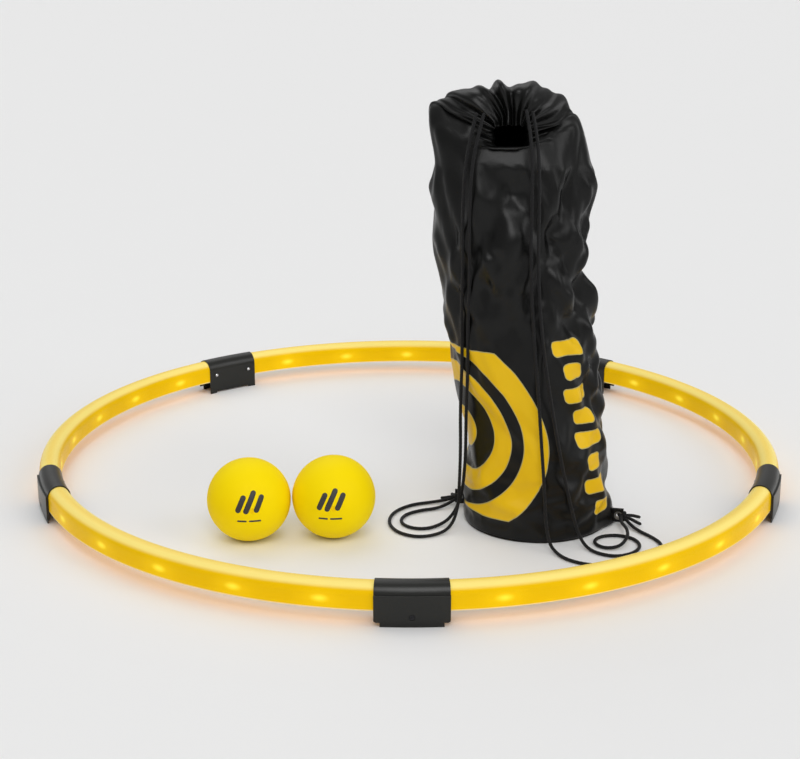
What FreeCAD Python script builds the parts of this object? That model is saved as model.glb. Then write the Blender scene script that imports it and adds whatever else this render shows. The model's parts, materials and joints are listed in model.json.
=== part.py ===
"""Light-up rim kit for a lawn ball game: a ring of five glowing tubes, two balls and a drawstring bag.

Millimetres, +Z up.  The origin is on the floor, under the ring's centre.
"""
import FreeCAD, Part
import Sketcher

import math
import os

V = FreeCAD.Vector
UP = V(0, 0, 1)
SEGMENTS = 5
FRONT = 270.0                                   # bearing of the front connector, degrees from +X
PITCH = 360.0 / SEGMENTS
SIDES = {"a": -1, "b": 1}                       # the two ends of a connector, clockwise end first

doc = FreeCAD.newDocument("LightRimKit")

# ---------------------------------------------------------------- driving dimensions
DIMENSIONS = {
    # the ring
    "ring_radius": 447.0,          # to the middle of the tube
    "tube_half_width": 12.5,
    "tube_low": 17.3,
    "tube_top": 46.0,
    "tube_wall": 2.0,
    "tube_start": 24.0,            # from a connector's middle to the end of a tube, along the ring
    "strip_half_width": 5.0,
    "strip_thickness": 1.6,
    "strip_half_sweep": 31.4,      # degrees
    "led_size": 5.0,
    "led_height": 1.6,
    "led_pitch": 12.0,             # degrees
    "plug_length": 10.0,
    "plug_clearance": 0.05,
    # the connectors
    "connector_half_width": 14.0,
    "connector_half_length": 38.5,
    "connector_top": 47.5,
    "cavity_half_width": 12.7,
    "cavity_low": 17.1,
    "cavity_top": 46.2,
    "channel_top": 15.0,
    "tray_top": 20.6,
    "tray_half_length": 23.5,
    "relief_height": 2.5,          # the inner wall stops this far above the floor between its feet
    "relief_half_length": 26.5,
    "foot_half_length": 33.5,      # of the outer wall below the door
    "window_half_length": 22.0,
    "window_low": 20.8,
    "window_top": 31.4,
    # the battery doors
    "door_low": 5.5,
    "door_top": 35.5,
    "door_thickness": 1.8,
    "door_corner": 3.0,
    "door_gap": 0.05,
    "pad_gap": 0.25,
    "pad_depth": 2.2,
    "screw_height": 11.5,
    "screw_radius": 1.25,
    "screw_head_radius": 2.8,
    "screw_head_thickness": 1.0,
    "screw_recess_radius": 3.3,
    "screw_length": 5.5,
    "boss_radius": 3.2,
    "boss_length": 4.0,
    # the snap buttons
    "snap_offset": 27.5,           # along the ring, from the connector's middle
    "snap_height": 27.0,
    "snap_radius": 2.25,
    "snap_clearance": 0.08,
    "snap_tip": 431.8,             # ring radius at which the button's shoulder stands
    "snap_bevel": 0.9,
    "snap_length": 9.2,
    "snap_bore_end": 450.5,
    "snap_ring_radius": 3.6,
    "snap_ring_height": 0.7,
    "spring_radius": 1.9,
    "spring_bore": 1.4,
    "spring_length": 5.3,
    # the electrics
    "cell_radius": 5.2,
    "cell_length": 43.3,
    "cell_nub_radius": 1.9,
    "cell_nub_length": 1.0,
    "cell_spacing": 10.8,
    "contact_width": 8.0,
    "contact_height": 9.0,
    "contact_thickness": 0.4,
    "board_low": 31.8,
    "board_thickness": 1.5,
    "board_half_length": 20.0,
    "board_groove": 0.4,           # how far the board's edges sit in the connector's walls
    "button_radius": 4.0,
    "button_height": 3.0,
    "button_travel": 1.0,
    "button_clearance": 0.1,
    # the balls
    "ball_radius": 48.0,
    "ball_wall": 1.7,
    "valve_radius": 3.0,
    "valve_length": 6.0,
    "valve_sink": 0.2,
    # the bag
    "bag_wall": 1.5,
    "base_thickness": 3.0,
    "base_radius": 87.0,
    "base_edge": 1.5,
    "mouth_radius": 13.0,          # of the hole that the drawn mouth leaves
    "mouth_x": 106.0,
    "mouth_y": -168.0,
    "mouth_low": 430.0,
    "tab_length": 20.0,
    "tab_thickness": 3.0,
    "tab_height": 17.0,
    "tab_low": 2.0,
    "tab_sewn": 3.0,               # the length of a tab that is sewn into the bag's seam
    "grommet_radius": 5.0,
    "grommet_bore": 2.6,
    "grommet_wall": 0.8,
    "grommet_flange": 0.6,
    # the drawcords and their knots
    "cord_radius": 2.0,
    "knot_radius": 6.0,
    "tail_length": 18.0,
    "tail_gap": 0.05,
}

# The bag's outline: height, middle X, middle Y, half width, half depth.
BAG_SECTIONS = [
    (3.0, 150.0, -153.0, 87.0, 87.0),
    (40.0, 150.0, -153.0, 88.0, 87.9),
    (110.0, 149.0, -152.0, 82.0, 81.0),
    (200.0, 131.0, -150.0, 83.0, 72.0),
    (290.0, 121.0, -149.0, 82.5, 66.0),
    (380.0, 121.0, -148.0, 86.0, 64.0),
    (440.0, 120.0, -147.0, 85.0, 57.0),
    (472.0, 108.0, -145.0, 80.0, 45.0),
    (490.0, 105.0, -143.0, 74.0, 30.0),
]
# The gathered mouth, in the same terms.
CASING_SECTIONS = [
    (466.0, 104.0, -182.0, 30.0, 14.0),
    (488.0, 104.0, -174.0, 45.0, 24.0),
    (508.0, 106.0, -168.0, 41.0, 25.0),
    (516.0, 106.0, -167.0, 28.0, 17.0),
]
BALL_CENTRES = {"left": (-185.0, -219.0), "right": (-88.0, -210.5)}
VALVE_BEARINGS = {"left": (-81.0, 4.4), "right": (-88.5, 3.8)}      # bearing and rise, degrees

# Where the bag's two lower corners hold their tabs: bearing from the bag's middle, and each knot's place.
TAB_BEARINGS = {"left": 155.5, "right": -13.0}
KNOT_PLACES = {"left": (60.0, -112.5, 10.0), "right": (250.0, -176.5, 10.0)}
TAIL_BEARINGS = {"left": (112.0, 160.0), "right": (-32.0, 16.0)}
TAIL_DROP = -12.0                               # degrees below level

# Each drawcord strand, from the gathered mouth down the bag's front, over the floor and back to its knot.
CORD_ROUTES = {
    "drawcord_left_outer": [
        (72, -189.5, 487), (65.5, -195, 462), (59.5, -199, 428), (57, -200, 372), (58.5, -198.5, 316),
        (57.5, -196, 262), (59, -193, 206), (57.5, -189, 150), (58.5, -186.5, 96), (57.5, -185, 52),
        (56, -187, 24), (49, -197, 7), (36, -212, 2.3), (10, -224, 2.3), (-15, -209, 2.3),
        (-26, -178, 2.3), (-20, -144, 2.3), (2, -119, 2.3), (28, -111, 2.3), (46, -110, 5), (58, -111, 9)],
    "drawcord_left_inner": [
        (80, -192, 487), (72.5, -198, 460), (66, -203, 424), (64.5, -204, 366), (66, -202.5, 310),
        (64.5, -201, 254), (65.5, -197, 200), (64, -192, 146), (64.5, -186, 94), (62.5, -180, 52),
        (57.5, -176, 25), (48, -176, 8), (36, -184, 2.3), (19, -198, 2.3), (-1, -194, 2.3),
        (-12, -175, 2.3), (-6, -152, 2.3), (13, -138, 2.3), (33, -132, 2.3), (47, -123, 5), (57, -116, 9)],
    "drawcord_right_outer": [
        (126, -187, 490), (130, -202, 470), (132, -214, 442), (132.5, -218.5, 394), (132, -219.5, 340),
        (134, -222, 286), (138, -227, 232), (143, -234, 178), (147, -241, 124), (151, -247.5, 72),
        (153, -251, 33), (157, -258.5, 9), (165, -273, 2.3), (177, -292, 2.3), (199, -305, 2.3),
        (229, -306, 2.3), (259, -295, 2.3), (281, -273, 2.3), (288, -246, 2.3), (279, -223, 2.3),
        (266, -205, 2.3), (257, -190, 5), (252, -178, 9)],
    "drawcord_right_inner": [
        (133, -185, 488), (137, -200, 468), (139.5, -213.5, 440), (140.5, -218, 392), (140, -220, 338),
        (142.5, -222.5, 284), (147.5, -227.5, 232), (155, -234, 182), (163.5, -240, 134),
        (173.5, -241.5, 84), (184, -242, 40), (192, -245, 13), (200, -254, 2.3), (211, -272, 2.3),
        (231, -281, 2.3), (252, -271, 2.3), (263, -250, 2.3), (258, -227, 2.3), (238, -216, 2.3),
        (217, -222, 2.3), (209, -240, 2.3), (220, -257, 2.3), (238, -256, 4), (248, -243, 10),
        (250, -227, 12), (248, -211, 12), (246, -196, 10), (248, -182, 10)],
}


class Size:
    """A length or angle that knows its number and the spreadsheet formula that gives it."""

    def __init__(self, value, formula):
        self.value = float(value)
        self.formula = formula

    def __add__(self, other):
        other = sized(other)
        return Size(self.value + other.value, "(%s + %s)" % (self.formula, other.formula))

    def __sub__(self, other):
        other = sized(other)
        return Size(self.value - other.value, "(%s - %s)" % (self.formula, other.formula))

    def __mul__(self, other):
        other = sized(other)
        return Size(self.value * other.value, "(%s * %s)" % (self.formula, other.formula))

    def __truediv__(self, other):
        other = sized(other)
        return Size(self.value / other.value, "(%s / %s)" % (self.formula, other.formula))


def sized(number):
    """A plain number as a Size; a Size stays as it is."""
    return number if isinstance(number, Size) else Size(number, repr(float(number)))


class Sheet:
    """Gives each spreadsheet cell as a Size, by its alias."""

    def __getattr__(self, alias):
        return Size(DIMENSIONS[alias], "Sizes." + alias)


def fill_sheet():
    """Write the driving dimensions to the spreadsheet, one aliased cell each."""
    cells = doc.addObject("Spreadsheet::Sheet", "Sizes")
    for row, (alias, value) in enumerate(DIMENSIONS.items(), start=1):
        cells.set("A%d" % row, alias)
        cells.set("B%d" % row, str(value))
        cells.setAlias("B%d" % row, alias)
    doc.recompute()


size = Sheet()
fill_sheet()

# ---------------------------------------------------------------- small helpers
AXES = {"x": "Placement.Base.x", "y": "Placement.Base.y", "z": "Placement.Base.z"}
PARTS = []                                      # the sub-parts, in the order they are made


def bind(thing, **formulas):
    """Tie properties to the spreadsheet; x, y and z are the position."""
    for name, amount in formulas.items():
        thing.setExpression(AXES.get(name, name), sized(amount).formula)
    return thing


def finish(thing, label, bearing=None):
    """Label a sub-part, turn it to its bearing round the ring and put it on the list."""
    thing.Label = label
    if bearing is not None:
        turned(thing, bearing)
    PARTS.append(thing)
    return thing


def box(name, x, y, z, length, width, height):
    """A block from its lowest corner."""
    return bind(doc.addObject("Part::Box", name), x=x, y=y, z=z,
                Length=length, Width=width, Height=height)


def cylinder(name, radius, height, x=0.0, y=0.0, z=0.0, turn=None):
    """A cylinder from the middle of its lower face, along Z unless it is turned."""
    made = doc.addObject("Part::Cylinder", name)
    if turn is not None:
        made.Placement = FreeCAD.Placement(V(0, 0, 0), turn)
    return bind(made, Radius=radius, Height=height, x=x, y=y, z=z)


def along(direction):
    """The rotation that lays Z along a direction."""
    return FreeCAD.Rotation(UP, direction)


def compass(bearing, rise=0.0):
    """The unit vector at a bearing from +X and a rise above the floor, in degrees."""
    flat = math.cos(math.radians(rise))
    return V(flat * math.cos(math.radians(bearing)), flat * math.sin(math.radians(bearing)),
             math.sin(math.radians(rise)))


def radial_cylinder(name, radius, start, length, bearing, height):
    """A cylinder that points away from the ring's axis, from a ring radius outwards."""
    way = compass(bearing)
    return cylinder(name, radius, length, start * way.x, start * way.y, height, along(way))


def fuse(name, *solids):
    made = doc.addObject("Part::MultiFuse", name)
    made.Shapes = list(solids)
    return made


def cut(name, base, tool):
    made = doc.addObject("Part::Cut", name)
    made.Base = base
    made.Tool = tool
    return made


def group(name, solids):
    """Separate solids that share one node."""
    made = doc.addObject("Part::Compound", name)
    made.Links = list(solids)
    return made


def as_degrees(arc_length):
    """The angle round the ring of a length along the tube's middle."""
    return arc_length / size.ring_radius * (180.0 / math.pi)


def upright_sketch(name):
    """A sketch in the XZ plane: its x is the ring radius and its y is the height."""
    sketch = doc.addObject("Sketcher::SketchObject", name)
    sketch.Placement = FreeCAD.Placement(V(0, 0, 0), FreeCAD.Rotation(V(1, 0, 0), 90))
    return sketch


def pin_point(sketch, edge, end, across, height):
    """Hold one end of a sketch edge at a bound position."""
    for kind, amount in (("DistanceX", across), ("DistanceY", height)):
        index = sketch.addConstraint(Sketcher.Constraint(kind, -1, 1, edge, end, amount.value))
        sketch.setExpression("Constraints[%d]" % index, amount.formula)


def add_loop(sketch, corners, crown=False):
    """Add a closed outline; with a crown, the last corner joins the first by a half circle above them."""
    first = sketch.GeometryCount
    count = len(corners)
    spots = [V(across.value, height.value, 0) for across, height in corners]
    for index in range(count - 1):
        sketch.addGeometry(Part.LineSegment(spots[index], spots[index + 1]), False)
    if crown:
        middle = (spots[0] + spots[-1]) * 0.5
        radius = (spots[0] - spots[-1]).Length / 2
        top = V(middle.x, middle.y + radius, 0)
        sketch.addGeometry(Part.Arc(spots[-1], top, spots[0]), False)
    else:
        sketch.addGeometry(Part.LineSegment(spots[-1], spots[0]), False)
    for index in range(count - 1):
        pin_point(sketch, first + index, 1, *corners[index])
    pin_point(sketch, first + count - 2, 2, *corners[-1])
    for index in range(count - 2):
        sketch.addConstraint(Sketcher.Constraint("Coincident", first + index, 2, first + index + 1, 1))
    closing = first + count - 1
    if crown:
        # the arc runs anticlockwise from the outer corner to the inner one
        sketch.addConstraint(Sketcher.Constraint("Tangent", first + count - 2, 2, closing, 1))
        sketch.addConstraint(Sketcher.Constraint("Coincident", closing, 2, first, 1))
    else:
        sketch.addConstraint(Sketcher.Constraint("Coincident", first + count - 2, 2, closing, 1))
        sketch.addConstraint(Sketcher.Constraint("Coincident", closing, 2, first, 1))


def crowned_corners(half_width, low, top):
    """The corners of a section with upright sides under a half-round top, from its inner shoulder down."""
    inner = size.ring_radius - half_width
    outer = size.ring_radius + half_width
    shoulder = top - half_width
    return [(inner, shoulder), (inner, low), (outer, low), (outer, shoulder)]


def revolve(name, sketch, sweep):
    """Turn a section about the ring's axis, half of the sweep to each side."""
    made = doc.addObject("Part::Revolution", name)
    made.Source = sketch
    made.Axis = UP
    made.Solid = True
    made.Symmetric = True
    return bind(made, Angle=sweep)


def crowned_ring(name, half_width, low, top, sweep, wall=None):
    """A stretch of the ring with a round top, hollow if it has a wall."""
    sketch = upright_sketch(name + "_section")
    add_loop(sketch, crowned_corners(sized(half_width), sized(low), sized(top)), crown=True)
    if wall is not None:
        add_loop(sketch, crowned_corners(half_width - wall, low + wall, top - wall), crown=True)
    return revolve(name, sketch, sweep)


def ring_block(name, radius, half_width, low, top, sweep):
    """A stretch of a ring of any radius, with a rectangular section."""
    radius, low, top = sized(radius), sized(low), sized(top)
    inner, outer = radius - half_width, radius + half_width
    sketch = upright_sketch(name + "_section")
    add_loop(sketch, [(inner, top), (inner, low), (outer, low), (outer, top)])
    return revolve(name, sketch, sweep)


def flat_ring(name, half_width, low, top, sweep):
    """A stretch of the tubes' ring with a rectangular section."""
    return ring_block(name, size.ring_radius, half_width, low, top, sweep)


def turned(thing, bearing):
    """Turn a construction solid about the ring's axis."""
    thing.Placement = FreeCAD.Placement(V(0, 0, 0), FreeCAD.Rotation(UP, bearing))
    return thing


# ---------------------------------------------------------------- the light tubes
SNAP_ANGLE = as_degrees(size.snap_offset).value
OUTER_FACE = size.ring_radius + size.connector_half_width
INNER_FACE = size.ring_radius - size.connector_half_width


def light_tube(number, bearing):
    """A glowing tube with a hole near each end for its snap button."""
    name = "light_tube_%d" % number
    sweep = sized(PITCH) - as_degrees(size.tube_start) * 2
    shell = crowned_ring(name + "_shell", size.tube_half_width, size.tube_low, size.tube_top,
                         sweep, size.tube_wall)
    holes = [radial_cylinder("%s_hole_%s" % (name, side),
                             size.snap_radius + size.snap_clearance,
                             size.ring_radius - size.tube_half_width - 1, size.tube_wall + 2,
                             sign * (PITCH / 2 - SNAP_ANGLE), size.snap_height)
             for side, sign in SIDES.items()]
    finish(cut(name, shell, fuse(name + "_holes", *holes)), name, bearing)


def led_strip(number, bearing):
    """The strip on a tube's floor, with its lamps as separate solids."""
    name = "led_strip_%d" % number
    low = size.tube_low + size.tube_wall
    top = low + size.strip_thickness
    pieces = [flat_ring(name + "_board", size.strip_half_width, low, top, size.strip_half_sweep * 2)]
    for index in range(-2, 3):
        spot = box("%s_lamp_%d" % (name, index + 3), size.ring_radius - size.led_size / 2,
                   size.led_size / -2.0, top, size.led_size, size.led_size, size.led_height)
        lamp = group("%s_placed_%d" % (name, index + 3), [spot])
        pieces.append(turned(lamp, index * DIMENSIONS["led_pitch"]))
    finish(group(name, pieces), name, bearing)


def end_plugs():
    """The plugs that close the ends of the tubes, each with a bore for its snap button."""
    plugs = []
    middle = as_degrees(size.tube_start + size.plug_length / 2).value
    inner_wall = size.tube_wall + size.plug_clearance
    for number in range(1, SEGMENTS + 1):
        for side, sign in SIDES.items():
            name = "plug_%d%s" % (number, side)
            body = crowned_ring(name + "_body", size.tube_half_width - inner_wall,
                                size.tube_low + inner_wall, size.tube_top - inner_wall,
                                as_degrees(size.plug_length))
            turned(body, sign * middle)
            start = size.ring_radius - size.tube_half_width
            bore = radial_cylinder(name + "_bore", size.snap_radius + size.snap_clearance,
                                   start, size.snap_bore_end - start,
                                   sign * SNAP_ANGLE, size.snap_height)
            plugs.append(turned(cut(name, body, bore), FRONT + (number - 1) * PITCH))
    finish(group("tube_end_plugs", plugs), "tube_end_plugs")


# ---------------------------------------------------------------- the connectors
def connector_shell(name):
    """The moulded saddle: hollow for the tube ends, and a channel below that sits over a rim."""
    width = size.cavity_half_width
    outer = crowned_ring(name + "_outside", size.connector_half_width, 0.0, size.connector_top,
                         as_degrees(size.connector_half_length) * 2)
    longer = as_degrees(size.connector_half_length + 2) * 2
    cavity = crowned_ring(name + "_cavity", width, size.cavity_low, size.cavity_top, longer)
    channel = flat_ring(name + "_channel", width, -1.0, size.channel_top, longer)
    hollow = cut(name + "_hollow", outer, fuse(name + "_spaces", cavity, channel))
    tray = flat_ring(name + "_tray", width, size.channel_top + 0.5, size.tray_top,
                     as_degrees(size.tray_half_length) * 2)
    return fuse(name + "_with_tray", hollow, tray)


NOTCH_LENGTH = 10.0                             # cut from the outer wall beyond each end of its foot


def connector(number, bearing):
    """A connector with its battery window, feet, snap holes, screw boss and switch pocket."""
    name = "connector_%d" % number
    added = [connector_shell(name)]
    added.append(radial_cylinder(name + "_boss", size.boss_radius,
                                 OUTER_FACE - 1 - size.boss_length, size.boss_length, 0.0,
                                 size.screw_height))
    removed = [
        box(name + "_window", size.ring_radius + size.cavity_half_width - 3,
            size.window_half_length * -1, size.window_low, 10.0, size.window_half_length * 2,
            size.window_top - size.window_low),
        box(name + "_relief", INNER_FACE - 5, size.relief_half_length * -1, -1.0,
            10.0, size.relief_half_length * 2, size.relief_height + 1),
        radial_cylinder(name + "_pilot", size.screw_radius + size.door_gap,
                        OUTER_FACE - 8, sized(10.0), 0.0, size.screw_height),
        cylinder(name + "_pocket", size.button_radius + size.button_clearance,
                 size.button_height + size.button_travel + size.button_clearance + 1,
                 size.ring_radius, 0.0, size.channel_top - 1),
    ]
    for side, sign in SIDES.items():
        notch_start = size.foot_half_length if sign > 0 else (size.foot_half_length + NOTCH_LENGTH) * -1
        removed.append(box("%s_notch_%s" % (name, side), OUTER_FACE - 5, notch_start, -1.0,
                           10.0, NOTCH_LENGTH, size.door_low + 1))
        added.append(radial_cylinder("%s_collar_%s" % (name, side), size.snap_ring_radius,
                                     INNER_FACE - size.snap_ring_height,
                                     size.snap_ring_height + 1, sign * SNAP_ANGLE, size.snap_height))
        removed.append(radial_cylinder("%s_snap_hole_%s" % (name, side),
                                       size.snap_radius + size.snap_clearance,
                                       INNER_FACE - 3, sized(8.0), sign * SNAP_ANGLE,
                                       size.snap_height))
    solid = cut(name, fuse(name + "_added", *added), fuse(name + "_removed", *removed))
    finish(solid, name, bearing)


DOOR_DEPTH = 7.0                                # how far a door's plate reaches in before it is hollowed


def bottom_corner_edges(block):
    """The two lower edges of a block that run across its thickness."""
    found = []
    for index, edge in enumerate(block.Shape.Edges, start=1):
        ends = [vertex.Point for vertex in edge.Vertexes]
        low = max(point.z for point in ends) < DIMENSIONS["door_low"] + 0.01
        across = abs(ends[0].x - ends[1].x) > 0.01
        if low and across:
            found.append(index)
    return found


def battery_door(number, bearing):
    """The curved outer plate, hollowed to the connector's side, with a pad that fills the window."""
    name = "battery_door_%d" % number
    half = size.connector_half_length
    thickness = size.door_thickness / 2 + DOOR_DEPTH / 2
    block = ring_block(name + "_block", OUTER_FACE + size.door_thickness - thickness, thickness,
                       size.door_low, size.door_top, as_degrees(half) * 2)
    doc.recompute()
    rounded = doc.addObject("Part::Fillet", name + "_rounded")
    rounded.Base = block
    corner = DIMENSIONS["door_corner"]
    rounded.Edges = [(index, corner, corner) for index in bottom_corner_edges(block)]
    saddle = crowned_ring(name + "_saddle", size.connector_half_width + size.door_gap,
                          sized(-1.0), size.connector_top + size.door_gap,
                          as_degrees(half + 10) * 2)
    plate = cut(name + "_plate", rounded, saddle)
    pad = box(name + "_pad", OUTER_FACE - size.pad_depth,
              size.pad_gap - size.window_half_length, size.window_low + size.pad_gap,
              size.pad_depth + size.door_thickness / 2,
              (size.window_half_length - size.pad_gap) * 2,
              size.window_top - size.window_low - size.pad_gap * 2)
    front = OUTER_FACE + size.door_thickness
    recess = radial_cylinder(name + "_recess", size.screw_recess_radius,
                             front - size.screw_head_thickness - 0.2, sized(3.0), 0.0,
                             size.screw_height)
    hole = radial_cylinder(name + "_hole", size.screw_radius + size.door_gap,
                           OUTER_FACE - 3, sized(8.0), 0.0, size.screw_height)
    solid = cut(name, fuse(name + "_solid", plate, pad), fuse(name + "_cuts", recess, hole))
    finish(solid, name, bearing)


def door_screw(number, bearing):
    """A pan-head screw with a cross recess."""
    name = "door_screw_%d" % number
    seat = OUTER_FACE + size.door_thickness - size.screw_head_thickness - 0.2
    head = radial_cylinder(name + "_head", size.screw_head_radius, seat, size.screw_head_thickness,
                           0.0, size.screw_height)
    shank = radial_cylinder(name + "_shank", size.screw_radius, seat - size.screw_length,
                            size.screw_length + 0.5, 0.0, size.screw_height)
    slot_long, slot_wide = size.screw_head_radius * 1.2, sized(0.7)
    depth = size.screw_head_thickness / 2
    top = seat + depth
    slots = [
        box(name + "_slot_flat", top, slot_long / -2.0, size.screw_height - slot_wide / 2,
            depth + 1, slot_long, slot_wide),
        box(name + "_slot_tall", top, slot_wide / -2.0, size.screw_height - slot_long / 2,
            depth + 1, slot_wide, slot_long),
    ]
    finish(cut(name, fuse(name + "_blank", head, shank), fuse(name + "_slots", *slots)), name, bearing)


def snap_button(number, side, sign, bearing):
    """The sprung pin that locks a tube end into a connector."""
    name = "snap_button_%d%s" % (number, side)
    pin = radial_cylinder(name + "_pin", size.snap_radius, size.snap_tip, size.snap_length,
                          0.0, size.snap_height)
    tip = doc.addObject("Part::Cone", name + "_tip")
    tip.Placement = FreeCAD.Placement(V(0, 0, 0), along(V(1, 0, 0)))
    bind(tip, Radius1=size.snap_radius - size.snap_bevel, Radius2=size.snap_radius,
         Height=size.snap_bevel, x=size.snap_tip - size.snap_bevel, z=size.snap_height)
    finish(fuse(name, pin, tip), name, bearing + sign * SNAP_ANGLE)


def snap_springs():
    """The coil springs behind the snap buttons, each a sleeve as long as its spring when pressed."""
    springs = []
    start = size.snap_bore_end - size.spring_length
    for number in range(SEGMENTS):
        for side, sign in SIDES.items():
            name = "spring_%d%s" % (number + 1, side)
            outside = radial_cylinder(name + "_outside", size.spring_radius, start,
                                      size.spring_length, 0.0, size.snap_height)
            inside = radial_cylinder(name + "_inside", size.spring_bore, start - 1,
                                     size.spring_length + 2, 0.0, size.snap_height)
            bearing = FRONT + number * PITCH + sign * SNAP_ANGLE
            springs.append(turned(cut(name, outside, inside), bearing))
    finish(group("snap_springs", springs), "snap_springs")


# ---------------------------------------------------------------- the electrics
def power_button(number, bearing):
    """The push switch in the roof of the channel."""
    name = "power_button_%d" % number
    way = compass(bearing)
    finish(cylinder(name, size.button_radius, size.button_height, size.ring_radius * way.x,
                    size.ring_radius * way.y, size.channel_top), name)


def battery_cells():
    """Two cells side by side in each connector, lying along the ring, one each way round."""
    cells = []
    height = size.tray_top + size.cell_radius + 0.05
    for number in range(SEGMENTS):
        for side, sign in SIDES.items():
            name = "cell_%d%s" % (number + 1, side)
            across = size.ring_radius + size.cell_spacing * (sign / 2)
            total = size.cell_length + size.cell_nub_length
            can_start = total / -2.0 if sign > 0 else total / 2
            turn = along(V(0, sign, 0))
            can = cylinder(name + "_can", size.cell_radius, size.cell_length, across,
                           can_start, height, turn)
            nub = cylinder(name + "_nub", size.cell_nub_radius, total, across, can_start, height, turn)
            cells.append(turned(fuse(name, can, nub), FRONT + number * PITCH))
    finish(group("battery_cells", cells), "battery_cells")


def battery_contacts():
    """A plate at each end of each cell, standing on the tray."""
    plates = []
    reach = (size.cell_length + size.cell_nub_length) / 2
    for number in range(SEGMENTS):
        for side, sign in SIDES.items():
            for end in (-1, 1):
                name = "contact_%d%s_%d" % (number + 1, side, end + 1)
                middle = size.ring_radius + size.cell_spacing * (sign / 2)
                start = reach if end > 0 else reach * -1 - size.contact_thickness
                plate = box(name, middle - size.contact_width / 2, start, size.tray_top,
                            size.contact_width, size.contact_thickness, size.contact_height)
                plates.append(turned(group(name + "_placed", [plate]), FRONT + number * PITCH))
    finish(group("battery_contacts", plates), "battery_contacts")


def control_boards():
    """The circuit board above each pair of cells, held between the connector's walls."""
    boards = []
    for number in range(SEGMENTS):
        board = flat_ring("board_%d" % (number + 1), size.cavity_half_width + size.board_groove,
                          size.board_low, size.board_low + size.board_thickness,
                          as_degrees(size.board_half_length) * 2)
        boards.append(turned(board, FRONT + number * PITCH))
    finish(group("control_boards", boards), "control_boards")


# ---------------------------------------------------------------- the balls
def ball(side):
    """A hollow ball with a round hole for its inflation valve, and the valve's plug."""
    centre_x, centre_y = BALL_CENTRES[side]
    place = {"x": centre_x, "y": centre_y, "z": size.ball_radius}
    name = "ball_" + side
    outside = bind(doc.addObject("Part::Sphere", name + "_outside"), Radius=size.ball_radius, **place)
    inside = bind(doc.addObject("Part::Sphere", name + "_inside"),
                  Radius=size.ball_radius - size.ball_wall, **place)
    way = compass(*VALVE_BEARINGS[side])
    start = size.ball_radius - size.valve_sink - size.valve_length
    spot = {"x": start * way.x + centre_x, "y": start * way.y + centre_y,
            "z": start * way.z + size.ball_radius}
    hole = cylinder(name + "_valve_hole", size.valve_radius, size.valve_length + 5, turn=along(way), **spot)
    finish(cut(name, outside, fuse(name + "_hollow", inside, hole)), name)
    plug = cylinder(name + "_valve", size.valve_radius, size.valve_length, turn=along(way), **spot)
    finish(plug, name + "_valve")


# ---------------------------------------------------------------- the bag
def loft(name, sections, shrink=None):
    """A smooth closed solid through level ellipses; shrink makes the space inside a wall."""
    rings = []
    for index, (height, middle_x, middle_y, half_width, half_depth) in enumerate(sections):
        ring = doc.addObject("Part::Ellipse", "%s_ring_%d" % (name, index + 1))
        inset = size.bag_wall if shrink else sized(0.0)
        first, last = index == 0, index == len(sections) - 1
        lift = inset if first else inset * -1 if last else sized(0.0)
        bind(ring, MajorRadius=sized(half_width) - inset, MinorRadius=sized(half_depth) - inset - 0.01,
             x=middle_x, y=middle_y, z=sized(height) + lift)
        rings.append(ring)
    made = doc.addObject("Part::Loft", name)
    made.Sections = rings
    made.Solid = True
    made.Ruled = False
    return made


def mouth(name):
    """The upright hole that the drawn mouth leaves, from inside the bag to above its casing."""
    return cylinder(name, size.mouth_radius, size.mouth_low / 4, size.mouth_x, size.mouth_y, size.mouth_low)


def bag():
    """The cloth shell, its round base panel and its gathered mouth."""
    spaces = fuse("bag_spaces", loft("bag_inside", BAG_SECTIONS, shrink=True), mouth("bag_mouth"))
    finish(cut("bag_body", loft("bag_outside", BAG_SECTIONS), spaces), "bag_body")
    middle_x, middle_y = BAG_SECTIONS[0][1:3]
    panel = cylinder("base_panel", size.base_radius - 0.1, size.base_thickness, middle_x, middle_y)
    doc.recompute()
    base = doc.addObject("Part::Fillet", "bag_base")
    base.Base = panel
    low_edges = [index for index, edge in enumerate(panel.Shape.Edges, start=1)
                 if edge.BoundBox.ZMax < 0.01]
    base.Edges = [(index, DIMENSIONS["base_edge"], DIMENSIONS["base_edge"]) for index in low_edges]
    finish(base, "bag_base")
    below = fuse("gather_spaces", loft("gather_seat", BAG_SECTIONS), mouth("gather_mouth"))
    finish(cut("bag_casing", loft("gather", CASING_SECTIONS), below), "bag_casing")


# A tab is made along +X from its sewn end, then turned to its bearing and moved to the bag's seam.
EYE_ACROSS = size.tab_length * 0.7
EYE_HEIGHT = size.tab_low + size.tab_height / 2


def tab_cylinder(name, radius, start, length):
    """A cylinder on the axis of a tab's eye, from a distance on one side of the tab's middle."""
    return cylinder(name, radius, length, EYE_ACROSS, start * -1, EYE_HEIGHT, along(V(0, -1, 0)))


def sewn(thing, side):
    """Turn a tab or its grommet to its bearing and move it to the seam."""
    bearing = TAB_BEARINGS[side]
    middle_x, middle_y = BAG_SECTIONS[0][1:3]
    way = compass(bearing)
    seam = size.base_radius - size.tab_sewn
    turned(thing, bearing)
    return bind(thing, x=seam * way.x + middle_x, y=seam * way.y + middle_y)


def corner_tab(side):
    """A folded loop of cloth sewn to a lower corner of the bag, with a hole for its grommet."""
    name = "corner_tab_" + side
    strap = box(name + "_strap", 0.0, size.tab_thickness / -2.0, size.tab_low,
                size.tab_length, size.tab_thickness, size.tab_height)
    eye = tab_cylinder(name + "_eye", size.grommet_bore + size.grommet_wall,
                       size.tab_thickness * -1, size.tab_thickness * 2)
    finish(sewn(cut(name, strap, eye), side), name)


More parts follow.
